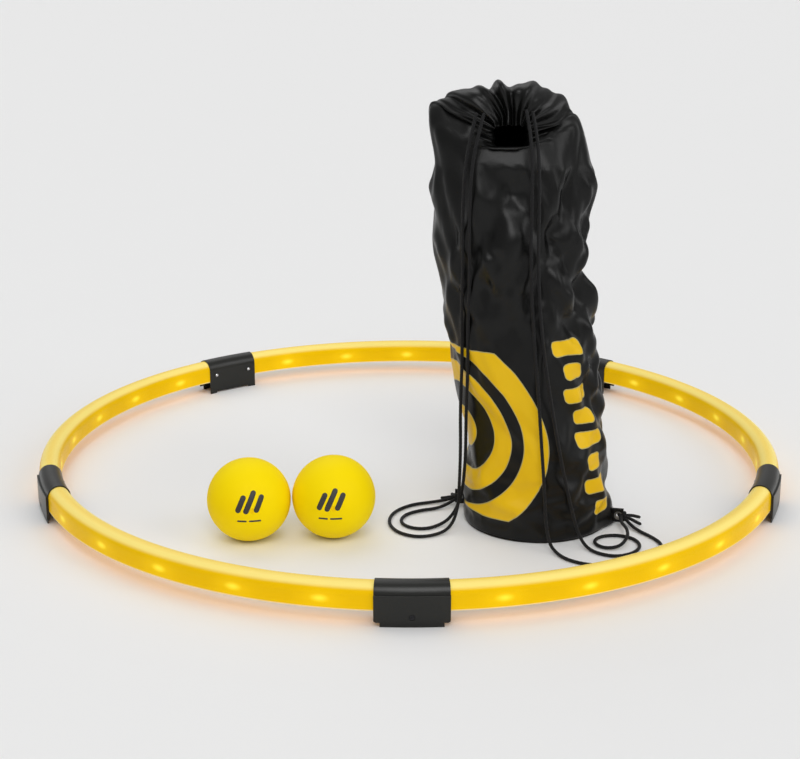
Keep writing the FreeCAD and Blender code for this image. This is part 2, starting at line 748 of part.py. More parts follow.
def grommets():
    """The eyelet in each tab: a barrel through the cloth with a flange on each side."""
    eyelets = []
    face = size.tab_thickness / 2
    rim = face + size.grommet_flange
    for side in TAB_BEARINGS:
        name = "grommet_" + side
        solids = [
            tab_cylinder(name + "_barrel", size.grommet_bore + size.grommet_wall, rim * -1, rim * 2),
            tab_cylinder(name + "_near", size.grommet_radius, face, size.grommet_flange),
            tab_cylinder(name + "_far", size.grommet_radius, rim * -1, size.grommet_flange),
        ]
        bore = tab_cylinder(name + "_bore", size.grommet_bore, rim * -2, rim * 4)
        eyelets.append(sewn(cut(name, fuse(name + "_solid", *solids), bore), side))
    finish(group("tab_grommets", eyelets), "tab_grommets")


def knots():
    """The knot at each tab, with the two short tails of its cord as separate solids."""
    pieces = []
    for side, place in KNOT_PLACES.items():
        name = "knot_" + side
        centre = V(*place)
        pieces.append(bind(doc.addObject("Part::Sphere", name), Radius=size.knot_radius,
                           x=centre.x, y=centre.y, z=centre.z))
        for index, bearing in enumerate(TAIL_BEARINGS[side]):
            way = compass(bearing, TAIL_DROP)
            spot = {axis: (size.knot_radius + size.tail_gap) * getattr(way, axis) + getattr(centre, axis)
                    for axis in "xyz"}
            pieces.append(cylinder("%s_tail_%d" % (name, index + 1), size.cord_radius,
                                   size.tail_length, turn=along(way), **spot))
    finish(group("cord_knots", pieces), "cord_knots")


# ---------------------------------------------------------------- the drawcords
ARC_SHARE = 0.45                                # of the shorter run, on each side of a corner


def rounded_path(name, route):
    """Straight runs joined by tangent arcs, each as large as its two runs allow."""
    points = [V(*point) for point in route]
    edges, radii, start = [], [], points[0]
    for before, corner, after in zip(points, points[1:], points[2:]):
        run_in, run_out = corner - before, after - corner
        half_turn = run_in.getAngle(run_out) / 2
        setback = ARC_SHARE * min(run_in.Length, run_out.Length)
        radius = setback / math.tan(half_turn)
        way_in, way_out = V(run_in).normalize(), V(run_out).normalize()
        inward = (way_out - way_in).normalize()
        enter, leave = corner - way_in * setback, corner + way_out * setback
        crown = corner + inward * (radius / math.cos(half_turn) - radius)
        edges.append(Part.LineSegment(start, enter).toShape())
        edges.append(Part.Arc(enter, crown, leave).toShape())
        radii.append(radius)
        start = leave
    edges.append(Part.LineSegment(start, points[-1]).toShape())
    path = Part.Wire(edges)
    print("%-22s length %6.1f mm, tightest radius %5.1f mm, all %s"
          % (name, path.Length, min(radii), " ".join("%.0f" % radius for radius in radii)))
    return path


def drawcord(name, route):
    """A round cord along its route."""
    radius = DIMENSIONS["cord_radius"]
    path = rounded_path(name, route)
    away = (V(*route[1]) - V(*route[0])).normalize()
    section = Part.Wire(Part.makeCircle(radius, V(*route[0]), away))
    tube = path.makePipeShell([section], True, False)
    expected = math.pi * radius ** 2 * path.Length
    print("%-22s volume %.0f of %.0f cubic mm" % ("", tube.Volume, expected))
    assert abs(tube.Volume - expected) < 0.01 * expected, name
    cord = doc.addObject("Part::Feature", name)
    cord.Shape = tube
    cord.Placement = FreeCAD.Placement()
    finish(cord, name)


# ---------------------------------------------------------------- assembly
def build():
    for index in range(SEGMENTS):
        number = index + 1
        bearing = FRONT + index * PITCH
        light_tube(number, bearing + PITCH / 2)
        led_strip(number, bearing + PITCH / 2)
        connector(number, bearing)
        battery_door(number, bearing)
        door_screw(number, bearing)
        power_button(number, bearing)
        for side, sign in SIDES.items():
            snap_button(number, side, sign, bearing)
    end_plugs()
    snap_springs()
    battery_cells()
    battery_contacts()
    control_boards()
    for side in BALL_CENTRES:
        ball(side)
    bag()
    for side in TAB_BEARINGS:
        corner_tab(side)
    grommets()
    knots()
    for name, route in CORD_ROUTES.items():
        drawcord(name, route)


def check():
    """Stop if any object failed or any sub-part's shape is unusable."""
    doc.recompute()
    for thing in doc.Objects:
        assert "Invalid" not in thing.State and "Error" not in thing.State, (thing.Name, thing.State)
    for thing in PARTS:
        assert not thing.Shape.isNull() and thing.Shape.isValid(), thing.Label
        assert thing.Shape.Solids, thing.Label


def export():
    os.makedirs("parts", exist_ok=True)
    for thing in PARTS:
        thing.Shape.exportStep("parts/%s.step" % thing.Label)
        bounds = thing.Shape.BoundBox
        print("%-24s %2d solids %11.1f mm3  x %.1f..%.1f  y %.1f..%.1f  z %.1f..%.1f"
              % (thing.Label, len(thing.Shape.Solids), thing.Shape.Volume, bounds.XMin, bounds.XMax,
                 bounds.YMin, bounds.YMax, bounds.ZMin, bounds.ZMax))
    print(len(PARTS), "nodes")


build()
check()
export()
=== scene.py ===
"""A light-up rim kit for a lawn ball game: a glowing ring, two balls and a drawstring bag.

Metres, +Z up.  The origin is on the floor, under the ring's centre, and the front is towards -Y.
"""
import json
import math

import bpy
from mathutils import Matrix, Vector, noise


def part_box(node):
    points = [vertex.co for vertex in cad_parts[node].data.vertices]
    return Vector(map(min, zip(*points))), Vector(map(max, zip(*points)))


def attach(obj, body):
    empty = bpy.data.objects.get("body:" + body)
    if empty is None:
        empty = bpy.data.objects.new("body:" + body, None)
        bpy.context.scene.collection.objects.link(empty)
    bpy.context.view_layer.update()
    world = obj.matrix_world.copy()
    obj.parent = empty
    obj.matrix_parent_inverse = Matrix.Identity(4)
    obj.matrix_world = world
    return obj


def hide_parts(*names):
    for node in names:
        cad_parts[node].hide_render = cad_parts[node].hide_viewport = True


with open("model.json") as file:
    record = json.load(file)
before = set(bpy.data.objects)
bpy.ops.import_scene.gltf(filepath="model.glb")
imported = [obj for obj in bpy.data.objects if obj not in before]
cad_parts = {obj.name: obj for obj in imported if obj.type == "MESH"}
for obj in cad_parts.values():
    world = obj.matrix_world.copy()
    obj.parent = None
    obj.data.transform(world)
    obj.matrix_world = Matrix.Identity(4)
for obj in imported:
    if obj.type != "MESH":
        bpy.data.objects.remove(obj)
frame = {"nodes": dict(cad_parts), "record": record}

scene = bpy.context.scene
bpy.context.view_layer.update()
MM = 0.001
UP = Vector((0.0, 0.0, 1.0))


def put(name, data):
    """A new object in the scene."""
    made = bpy.data.objects.new(name, data)
    scene.collection.objects.link(made)
    return made


def assign(thing, **values):
    """Set several properties of one thing."""
    for name, value in values.items():
        setattr(thing, name, value)


def mesh_of(name, verts, faces):
    mesh = bpy.data.meshes.new(name)
    mesh.from_pydata([tuple(vert) for vert in verts], [], faces)
    return mesh


# ---------- camera and light
def set_camera():
    data = bpy.data.cameras.new("camera")
    assign(data, lens=80.15, sensor_width=36.0)
    camera = put("camera", data)
    camera.location = (-0.0165, -2.1304, 0.7841)
    tilt_down = 0.30067
    camera.rotation_euler = (math.pi / 2 - tilt_down, 0.0, -0.0025)
    scene.camera = camera


def far_softbox(name, came_from, spread, strength):
    """A softbox so far away that it lights the whole floor alike; spread is its width in degrees."""
    data = bpy.data.lights.new(name, "SUN")
    assign(data, angle=math.radians(spread), energy=strength)
    lamp = put(name, data)
    lamp.rotation_euler = (-Vector(came_from)).to_track_quat("-Z", "Y").to_euler()


def set_lights():
    world = bpy.data.worlds.new("studio")
    world.use_nodes = True
    nodes, links = world.node_tree.nodes, world.node_tree.links
    background = nodes["Background"]
    background.inputs["Color"].default_value = (1.0, 1.0, 1.0, 1.0)
    # the ceiling is paler than the walls
    direction = nodes.new("ShaderNodeTexCoord")
    axes = nodes.new("ShaderNodeSeparateXYZ")
    rise = nodes.new("ShaderNodeMapRange")
    links.new(direction.outputs["Generated"], axes.inputs[0])
    links.new(axes.outputs["Z"], rise.inputs["Value"])
    rise.inputs["To Min"].default_value = 0.32
    rise.inputs["To Max"].default_value = 0.55
    links.new(rise.outputs[0], background.inputs["Strength"])
    scene.world = world
    far_softbox("front", (0.05, -1.0, 0.95), 34.0, 1.06)
    far_softbox("back", (-0.3, 0.9, 1.3), 58.0, 0.60)
    far_softbox("right", (1.0, -0.45, 0.62), 36.0, 0.58)
    scene.view_settings.view_transform = "Standard"


# ---------- materials
class Surface:
    """A Principled material, with short ways to build the nodes that feed it."""

    def __init__(self, name, **values):
        self.material = bpy.data.materials.new(name)
        self.material.use_nodes = True
        self.tree = self.material.node_tree
        self.shader = self.tree.nodes["Principled BSDF"]
        self.place = self.node("ShaderNodeTexCoord").outputs["Object"]
        self.normal = None
        for name, value in values.items():
            self.feed(name.replace("_", " "), value)

    def node(self, kind, **settings):
        made = self.tree.nodes.new(kind)
        assign(made, **settings)
        return made

    def join(self, value, socket):
        """Link an output, or set a number or colour."""
        if isinstance(value, bpy.types.NodeSocket):
            self.tree.links.new(value, socket)
        elif hasattr(value, "__len__") and len(value) == 3 and socket.type == "RGBA":
            socket.default_value = (*value, 1.0)
        else:
            socket.default_value = value

    def feed(self, name, value):
        self.join(value, self.shader.inputs[name])

    def sum(self, operation, *values):
        made = self.node("ShaderNodeMath", operation=operation)
        for value, socket in zip(values, made.inputs):
            self.join(value, socket)
        return made.outputs[0]

    def plus(self, first, second):
        return self.sum("ADD", first, second)

    def minus(self, first, second):
        return self.sum("SUBTRACT", first, second)

    def times(self, first, second):
        return self.sum("MULTIPLY", first, second)

    def size(self, value):
        return self.sum("ABSOLUTE", value)

    def span(self, across, up):
        """How far a flat place is from the middle."""
        return self.sum("SQRT", self.plus(self.times(across, across), self.times(up, up)))

    def noise(self, scale, detail=2.0, rough=0.5):
        made = self.node("ShaderNodeTexNoise")
        values = dict(Vector=self.place, Scale=scale, Detail=detail, Roughness=rough)
        for name, value in values.items():
            self.join(value, made.inputs[name])
        return made.outputs["Fac"]

    def remap(self, value, low, high, to_low=0.0, to_high=1.0, smooth=False):
        made = self.node("ShaderNodeMapRange", interpolation_type="SMOOTHSTEP" if smooth else "LINEAR")
        for socket, number in zip(made.inputs, (value, low, high, to_low, to_high)):
            self.join(number, socket)
        return made.outputs[0]

    def mix(self, share, first, second):
        made = self.node("ShaderNodeMix", data_type="RGBA")
        self.join(share, made.inputs["Factor"])
        self.join(first, made.inputs[6])
        self.join(second, made.inputs[7])
        return made.outputs[2]

    def split(self, vector):
        made = self.node("ShaderNodeSeparateXYZ")
        self.join(vector, made.inputs[0])
        return made.outputs

    def dull(self, grain, low, high):
        """Roughness that wanders with a noise between two values."""
        self.feed("Roughness", self.remap(grain, 0.3, 0.7, low, high))

    def attribute(self, name):
        return self.node("ShaderNodeAttribute", attribute_name=name).outputs["Vector"]

    def round_edges(self, radius):
        """Soften the shading of sharp edges, and return how strongly each point was softened."""
        bevel = self.node("ShaderNodeBevel", samples=6)
        bevel.inputs["Radius"].default_value = radius
        self.normal = bevel.outputs[0]
        plain = self.node("ShaderNodeNewGeometry").outputs["Normal"]
        dot = self.node("ShaderNodeVectorMath", operation="DOT_PRODUCT")
        self.join(self.normal, dot.inputs[0])
        self.join(plain, dot.inputs[1])
        return self.remap(dot.outputs["Value"], 1.0, 0.8)

    def relief(self, height, depth, strength=1.0):
        """Add a bump of a depth in metres on top of the bumps before it."""
        bump = self.node("ShaderNodeBump")
        bump.inputs["Strength"].default_value = strength
        bump.inputs["Distance"].default_value = depth
        self.join(height, bump.inputs["Height"])
        if self.normal is not None:
            self.join(self.normal, bump.inputs["Normal"])
        self.normal = bump.outputs[0]
        self.feed("Normal", self.normal)


def lamp_distance(look, height):
    """How far a point is from the nearest lamp of the strip inside a tube, along the ring and up."""
    pitch, offset, ring_radius = 12.0, 6.0, 0.447
    across, along, up = look.split(look.place)
    bearing = look.times(look.sum("ARCTAN2", along, across), 180.0 / math.pi)
    turns = look.sum("DIVIDE", look.minus(bearing, offset - 360.0), pitch)
    away = look.times(look.sum("PINGPONG", turns, 0.5), math.tau * ring_radius * pitch / 360.0)
    # a lamp's light spreads further along the tube than across it
    rise = look.times(look.minus(up, height), 2.1)
    return look.span(away, rise)


def tube_plastic():
    """Translucent yellow tube: an even glow, brighter before each lamp, with a painted deep amber glow on its
    underside that stands in for its tinted shadow, a painted highlight on its crown and a painted pale
    highlight along its bottom edge.
    """
    look = Surface("tube_yellow", Specular_IOR_Level=0.05, Coat_Weight=0.03, Coat_Roughness=0.16)
    low, top = (corner.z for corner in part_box("light_tube_1"))
    away = lamp_distance(look, low + 0.38 * (top - low))
    core = look.remap(away, 0.001, 0.013, 1.0, 0.0, smooth=True)
    halo = look.remap(away, 0.004, 0.036, 1.0, 0.0, smooth=True)
    _, _, up = look.split(look.place)
    drift = look.noise(9.0, 2.0)
    fine = look.noise(900.0, 2.0)
    _, _, facing = look.split(look.node("ShaderNodeNewGeometry").outputs["Normal"])
    # painted light: the downward faces glow deep amber, standing in for the tinted shadow under the tube
    painted_amber_underside = look.remap(facing, -0.75, -0.95)
    # painted highlight: the crown's colour is painted paler, where the light from above falls on it
    crest = look.remap(look.size(look.minus(facing, 0.80)), 0.42, 0.06, smooth=True)
    # painted highlight: a thin pale line along the bottom edge
    lip = look.remap(look.size(look.minus(up, low + 0.0005)), 0.0008, 0.0004)
    glow = look.mix(halo, (1.0, 0.58, 0.002), (1.0, 0.72, 0.010))
    glow = look.mix(core, glow, (1.0, 0.86, 0.10))
    # the painted amber underside
    glow = look.mix(painted_amber_underside, glow, (1.0, 0.30, 0.0))
    body = look.mix(drift, (0.81, 0.485, 0.001), (0.87, 0.53, 0.002))
    # the painted crown highlight
    body = look.mix(look.times(crest, 0.80), body, (1.0, 0.86, 0.29))
    # the painted bottom-edge highlight
    body = look.mix(look.times(lip, 0.7), body, (0.85, 0.74, 0.45))
    look.feed("Base Color", body)
    strength = look.remap(up, low, top, 0.13, 0.04)
    # extra glow near each lamp and on the painted amber underside
    for part, share in ((halo, 0.09), (core, 0.30), (painted_amber_underside, 0.24)):
        strength = look.plus(strength, look.times(part, share))
    look.feed("Emission Color", glow)
    look.feed("Emission Strength", strength)
    look.dull(fine, 0.24, 0.34)
    look.relief(fine, 0.03 * MM)
    return look.material


def moulded_plastic(name, colour, rough):
    """Satin moulded plastic: a fine grain, faint flow marks and a painted highlight that makes the edges a
    little lighter.
    """
    look = Surface(name, Specular_IOR_Level=0.40)
    # painted highlight: the sharp edges are painted lighter
    painted_edge_highlight = look.round_edges(0.7 * MM)
    flow = look.noise(22.0, 3.0)
    fine = look.noise(2400.0, 1.0)
    darker = tuple(channel * 0.82 for channel in colour)
    paler = tuple(min(1.0, channel * 1.7 + 0.012) for channel in colour)
    body = look.mix(flow, darker, colour)
    look.feed("Base Color", look.mix(look.times(painted_edge_highlight, 0.5), body, paler))
    look.dull(fine, rough - 0.05, rough + 0.07)
    look.relief(fine, 0.04 * MM)
    return look.material


def metal(name, colour, rough):
    """Turned metal with fine scratches and a painted highlight that makes its edges brighter."""
    look = Surface(name, Metallic=1.0)
    # painted highlight: the edges are painted brighter
    painted_edge_highlight = look.round_edges(0.25 * MM)
    scratch = look.noise(1800.0, 3.0, 0.7)
    look.feed("Base Color", look.mix(painted_edge_highlight, colour, tuple(min(1.0, c * 1.35) for c in colour)))
    look.dull(scratch, rough - 0.07, rough + 0.09)
    look.relief(scratch, 0.01 * MM)
    return look.material


def ball_rubber(name, colour):
    """Soft matte rubber: a fine pebble, faint dirt and a skin that pales at grazing angles."""
    look = Surface(name, Sheen_Weight=0.01, Sheen_Roughness=0.4, Specular_IOR_Level=0.07)
    pebble = look.node("ShaderNodeTexVoronoi")
    look.join(look.place, pebble.inputs["Vector"])
    pebble.inputs["Scale"].default_value = 750.0
    cloud = look.noise(35.0, 3.0)
    deeper = (colour[0] * 0.985, colour[1] * 0.965, colour[2] * 0.8)
    look.feed("Base Color", look.mix(cloud, deeper, colour))
    look.dull(cloud, 0.5, 0.62)
    look.relief(pebble.outputs["Distance"], 0.06 * MM, 0.6)
    return look.material


def printed_ink(name, colour):
    """Matt ink with a slightly broken surface."""
    look = Surface(name)
    grain = look.noise(1500.0, 2.0)
    look.feed("Base Color", look.mix(grain, colour, tuple(channel + 0.03 for channel in colour)))
    look.dull(grain, 0.45, 0.65)
    look.relief(grain, 0.02 * MM)
    return look.material


def cord_braid():
    """Black polyester braid: two families of strands that cross, in the tube's own length and turn."""
    look = Surface("cord_black", Specular_IOR_Level=0.25, Sheen_Weight=0.05, Sheen_Roughness=0.4)
    along, around, _ = look.split(look.attribute("braid"))
    strands = []
    for hand in (1.0, -1.0):
        phase = look.plus(look.times(along, 2200.0), look.times(around, 8.0 * hand))
        strands.append(look.size(look.sum("SINE", phase)))
    weave = look.times(*strands)
    fibre = look.noise(2600.0, 2.0)
    # painted shade: the weave's grooves are painted darker than the tops of its strands
    look.feed("Base Color", look.mix(weave, (0.003, 0.003, 0.0035), (0.013, 0.013, 0.014)))
    look.dull(fibre, 0.5, 0.75)
    look.relief(weave, 0.25 * MM, 0.8)
    look.relief(fibre, 0.05 * MM, 0.5)
    return look.material


def bag_cloth_surface():
    """Coated black nylon with a satin face, and a generic print of ripples and bars."""
    look = Surface("bag_nylon", Specular_IOR_Level=0.25, Coat_Weight=0.03, Coat_Roughness=0.22)
    across, up, facing_front = look.split(look.attribute("print_place"))
    cloud = look.noise(28.0, 4.0)
    fine = look.noise(1100.0, 2.0)
    cloth = look.mix(cloud, (0.0014, 0.0015, 0.0014), (0.0030, 0.0031, 0.0028))

    ripple_x, ripple_z, ripple_reach, dot_radius = -0.112, 0.122, 0.098, 0.024
    rise = look.minus(up, ripple_z)
    spread = look.span(look.minus(across, ripple_x), rise)
    inside = [look.minus(look.size(look.minus(spread, radius)), half)
              for radius, half in ((0.108, 0.0145), (0.064, 0.0115))]
    ripples = look.sum("MINIMUM", *inside)
    ripples = look.sum("MAXIMUM", ripples, look.minus(look.size(rise), ripple_reach))
    ripples = look.sum("MINIMUM", ripples, look.minus(spread, dot_radius))

    # a leaning column of rounded bars, alternately long and short
    bar_pitch, bar_low, bar_count, corner, half_tall = 0.0275, 0.032, 8, 0.0055, 0.0028
    lean = look.times(look.minus(0.24, up), 0.12)
    from_middle = look.minus(across, look.plus(lean, 0.058))
    step = look.sum("DIVIDE", look.minus(up, bar_low - bar_pitch / 2), bar_pitch)
    along_bar = look.times(look.minus(look.sum("FRACT", step), 0.5), bar_pitch)
    long_one = look.sum("MODULO", look.sum("FLOOR", step), 2.0)
    half_long = look.plus(0.0085, look.times(long_one, 0.0075))
    over_x = look.sum("MAXIMUM", 0.0, look.minus(look.size(from_middle), half_long))
    over_z = look.sum("MAXIMUM", 0.0, look.minus(look.size(along_bar), half_tall))
    bars = look.minus(look.span(over_x, over_z), corner)
    count_end = look.minus(look.size(look.minus(step, bar_count / 2)), bar_count / 2)
    bars = look.sum("MAXIMUM", bars, count_end)

    shape = look.sum("MINIMUM", ripples, bars)
    # the distance round starts again at the back seam, so nothing is printed there
    seam_facing = -0.985
    at_seam = look.times(look.minus(seam_facing, facing_front), 0.1)
    shape = look.sum("MAXIMUM", shape, at_seam)
    ink = look.remap(shape, 0.0002, -0.0002)
    outline = look.remap(look.size(look.minus(shape, 0.0005)), 0.0006, 0.0003)
    yellow = look.mix(cloud, (0.78, 0.47, 0.002), (0.86, 0.55, 0.003))
    colour = look.mix(ink, cloth, yellow)
    colour = look.mix(look.times(outline, 0.8), colour, (0.62, 0.52, 0.20))
    look.feed("Base Color", colour)
    rough = look.remap(fine, 0.3, 0.7, 0.28, 0.36)
    look.feed("Roughness", look.plus(rough, look.times(ink, 0.08)))
    threads = 1800.0
    warp, weft = (look.sum("SINE", look.times(way, math.pi * threads)) for way in (across, up))
    look.relief(look.times(warp, weft), 0.03 * MM, 0.5)
    look.relief(fine, 0.04 * MM, 0.5)
    return look.material


# Colour and roughness.
PLASTICS = {
    "connector_black": ((0.0088, 0.0090, 0.0070), 0.31),
    "button_rubber": ((0.03, 0.03, 0.033), 0.6),
    "strip_white": ((0.75, 0.75, 0.72), 0.5),
    "plug_white": ((0.72, 0.70, 0.64), 0.45),
    "cell_sleeve": ((0.2, 0.21, 0.23), 0.3),
    "board_green": ((0.02, 0.12, 0.05), 0.35),
}
METALS = {
    "screw_black": ((0.035, 0.035, 0.037), 0.22),
    "bright_steel": ((0.68, 0.68, 0.69), 0.25),
    "contact_nickel": ((0.17, 0.165, 0.155), 0.3),
}
MATERIALS = {
    "tube_yellow": tube_plastic(),
    "ball_yellow": ball_rubber("ball_yellow", (0.985, 0.755, 0.001)),
    "valve_yellow": ball_rubber("valve_yellow", (0.93, 0.63, 0.002)),
    "bag_nylon": bag_cloth_surface(),
    "cord_black": cord_braid(),
    **{name: moulded_plastic(name, *values) for name, values in PLASTICS.items()},
    **{name: metal(name, *values) for name, values in METALS.items()},
}


def paint_nodes():
    """Give every CAD node the material of its slot."""
    for row in frame["record"]["subparts"]:
        shape = frame["nodes"][row["node"]]
        for slot in shape.material_slots:
            slot.material = MATERIALS[row["material_slot"]]


# ---------- mesh helpers
def make_piece(name, verts, faces, body, slot, replaces=()):
    """A smooth-shaded piece that rides on a body and takes its finish from a slot."""
    mesh = mesh_of(name, verts, faces)
    mesh.validate()
    mesh.shade_smooth()
    mesh.materials.append(MATERIALS[slot])
    piece = put(name, mesh)
    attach(piece, body)
    if replaces:
        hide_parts(*replaces)
    return piece


def grid_faces(rows, columns, start=0, closed=True):
    """Quads between rows of points; closed joins each row's last point to its first."""
    spans = columns if closed else columns - 1
    return [(start + r * columns + c, start + r * columns + (c + 1) % columns,
             start + (r + 1) * columns + (c + 1) % columns, start + (r + 1) * columns + c)
            for r in range(rows - 1) for c in range(spans)]


def end_faces(rows, columns, start=0):
    """The faces that close the first and the last of the rows."""
    first = tuple(start + column for column in range(columns))
    last = tuple(start + (rows - 1) * columns + column for column in range(columns))
    return [first[::-1], last]


def joined(parts):
    """The points and faces of several meshes as one."""
    verts, faces = [], []
    for new_verts, new_faces in parts:
        faces += [tuple(index + len(verts) for index in face) for face in new_faces]
        verts += new_verts
    return verts, faces


def ring_point(middle, reach, bearing, height):
    """A point at a reach and bearing round a middle."""
    return Vector((middle.x + reach * math.cos(bearing), middle.y + reach * math.sin(bearing), height))


def turn_to(direction):
    """The rotation that lays +Z along a direction."""
    return Vector(direction).to_track_quat("Z", "Y").to_matrix()


def revolved(profile, sides, turn, origin):
    """Points and faces of a profile of (radius, height) turned about an axis; radius 0 is a pole."""
    verts, faces, rings = [], [], []
    for radius, height in profile:
        if not radius:
            rings.append([len(verts)])
            verts.append(origin + turn @ Vector((0.0, 0.0, height)))
            continue
        rings.append(list(range(len(verts), len(verts) + sides)))
        for side in range(sides):
            angle = math.tau * side / sides
            verts.append(origin + turn @ Vector((radius * math.cos(angle), radius * math.sin(angle), height)))
    for low, high in zip(rings, rings[1:]):
        for side in range(sides):
            after = (side + 1) % sides
            corners = [low[side % len(low)], low[after % len(low)],
                       high[after % len(high)], high[side % len(high)]]
            faces.append(tuple(dict.fromkeys(corners)))
    return verts, faces


# ---------- the drawcords
# Millimetres; a point without a height lies on the floor.
CORD_ROUTES = {
    "drawcord_left_outer": [
        (72, -189.5, 487), (65.5, -195, 462), (59.5, -199, 428), (57, -200, 372), (58.5, -198.5, 316),
        (57.5, -196, 262), (59, -193, 206), (57.5, -189, 150), (58.5, -186.5, 96), (57.5, -185, 52),
        (56, -187, 24), (49, -197, 7), (36, -212), (10, -224), (-15, -209), (-26, -178), (-20, -144),
        (2, -119), (28, -111), (46, -110, 5), (58, -111, 9)],
    "drawcord_left_inner": [
        (80, -192, 487), (72.5, -198, 460), (66, -203, 424), (64.5, -204, 366), (66, -202.5, 310),
        (64.5, -201, 254), (65.5, -197, 200), (64, -192, 146), (64.5, -186, 94), (62.5, -180, 52),
        (57.5, -176, 25), (48, -176, 8), (36, -184), (19, -198), (-1, -194), (-12, -175), (-6, -152),
        (13, -138), (33, -132), (47, -123, 5), (57, -116, 9)],
    "drawcord_right_outer": [
        (126, -187, 490), (130, -202, 470), (132, -214, 442), (132.5, -218.5, 394), (132, -219.5, 340),
        (134, -222, 286), (138, -227, 232), (143, -234, 178), (147, -241, 124), (151, -247.5, 72),
        (153, -251, 33), (157, -258.5, 9), (165, -273), (177, -292), (199, -305), (229, -306),
        (259, -295), (281, -273), (288, -246), (279, -223), (266, -205), (257, -190, 5),
        (252, -178, 9)],
    "drawcord_right_inner": [
        (133, -185, 488), (137, -200, 468), (139.5, -213.5, 440), (140.5, -218, 392), (140, -220, 338),
        (142.5, -222.5, 284), (147.5, -227.5, 232), (155, -234, 182), (163.5, -240, 134),
        (173.5, -241.5, 84), (184, -242, 40), (192, -245, 13), (200, -254), (211, -272), (231, -281),
        (252, -271), (263, -250), (258, -227), (238, -216), (217, -222), (209, -240), (220, -257),
        (238, -256, 4), (248, -243, 10), (250, -227, 12), (248, -211, 12), (246, -196, 10),
        (248, -182, 10)],
}
LYING = 2.3                           # the height of a cord's middle on the floor
CORD_RADIUS = 2.0 * MM


def metres(place):
    """A route's point in metres, with its height."""
    return tuple(number / 1000 for number in (*place, LYING)[:3])


def spline_line(name, route):
    """Points in metres along a NURBS spline that has the route's points as its control points."""
    data = bpy.data.curves.new(name, "CURVE")
    data.dimensions = "3D"
    data.resolution_u = 24
    spline = data.splines.new("NURBS")
    spline.points.add(len(route) - 1)
    for point, place in zip(spline.points, route):
        point.co = (*metres(place), 1.0)
    spline.order_u = 3
    spline.use_endpoint_u = True
    holder = put(name, data)
    line = bpy.data.meshes.new_from_object(holder)
    points = [vert.co.copy() for vert in line.vertices]
    bpy.data.objects.remove(holder)
    return points


def length_of(points):
    return sum((b - a).length for a, b in zip(points, points[1:]))


def evenly(points, count):
    """A number of steps of one length along a line, with its two ends."""
    total = length_of(points)
    found, walked, index = [points[0]], 0.0, 0
    for step in range(1, count):
        target = total * step / count
        while walked + (points[index + 1] - points[index]).length < target:
            walked += (points[index + 1] - points[index]).length
            index += 1
        share = (target - walked) / (points[index + 1] - points[index]).length
        found.append(points[index].lerp(points[index + 1], share))
    return found + [points[-1]]


def braided_tube(points, radius, spacing=1.1 * MM):
    """Points, faces and braid places of a cord: crossing ridges on the surface and rounded ends."""
    sides, strands, relief = 20, 8, 0.07
    line = evenly(points, round(length_of(points) / spacing))
    total = length_of(line)
    verts, places = [], []
    ahead = (line[1] - line[0]).normalized()
    side = ahead.orthogonal().normalized()
    walked = 0.0
    for index, point in enumerate(line):
        following = line[min(index + 1, len(line) - 1)] - line[max(index - 1, 0)]
        way = following.normalized()
        side = (side - way * side.dot(way)).normalized()
        other = way.cross(side)
        if index:
            walked += (point - line[index - 1]).length
        edge = min(walked, total - walked)
        rounding = math.sqrt(max(0.02, 1 - (1 - min(1.0, edge / radius)) ** 2))
        for corner in range(sides):
            angle = math.tau * corner / sides
            phase = walked / (math.tau * radius) * strands
            turned = strands / 4 * angle
            ridge = abs(math.sin(turned + phase)) * abs(math.sin(turned - phase))
            reach = radius * rounding * (1 - relief + relief * ridge)
            verts.append(point + (side * math.cos(angle) + other * math.sin(angle)) * reach)
            places.append((walked, angle, 0.0))
    faces = grid_faces(len(line), sides) + end_faces(len(line), sides)
    return verts, faces, places


def store_places(piece, name, places):
    """Keep a flat place for each point of a mesh, for its material to read."""
    layer = piece.data.attributes.new(name, "FLOAT_VECTOR", "POINT")
    for item, place in zip(layer.data, places):
        item.vector = place


def leave_unprinted(piece):
    """Give a piece of bag cloth a place below the print."""
    store_places(piece, "print_place", [(0.0, -0.2, 0.0)] * len(piece.data.vertices))


def thicken(piece):
    """Give a sheet of the bag's cloth its thickness."""
    thick = piece.modifiers.new("thickness", "SOLIDIFY")
    thick.thickness = 0.9 * MM
    thick.offset = 0.0


# Millimetres again.
KNOTS = {"left": (60, -112.5, 10), "right": (250, -176.5, 10)}
TAIL_ROUTES = {
    "left": [
        [(59, -109, 10), (56.5, -103, 9), (53.5, -96, 6), (52, -89, 4.5)],
        [(56, -112, 10), (50, -109, 8.5), (43, -105, 5.5), (38, -102.5, 4.5)]],
    "right": [
        [(253, -179, 10), (259, -183, 9), (265, -187.5, 6.5), (271, -190, 4.5)],
        [(254, -175, 10), (260, -173, 9.5), (267, -171.5, 7.5), (272.5, -170, 5.5)]],
}


def knot_points(centre, axis):
    """The closed line of a small overhand knot pulled tight."""
    turn = turn_to(axis)
    width, thickness = 1.62 * MM, 2.1 * MM
    points = []
    steps = 90
    for step in range(steps + 1):
        t = math.tau * step / steps
        flat = Vector((math.sin(t) + 2 * math.sin(2 * t), math.cos(t) - 2 * math.cos(2 * t), 0.0)) * width
        points.append(centre + turn @ (flat + Vector((0.0, 0.0, -math.sin(3 * t) * thickness))))
    return points


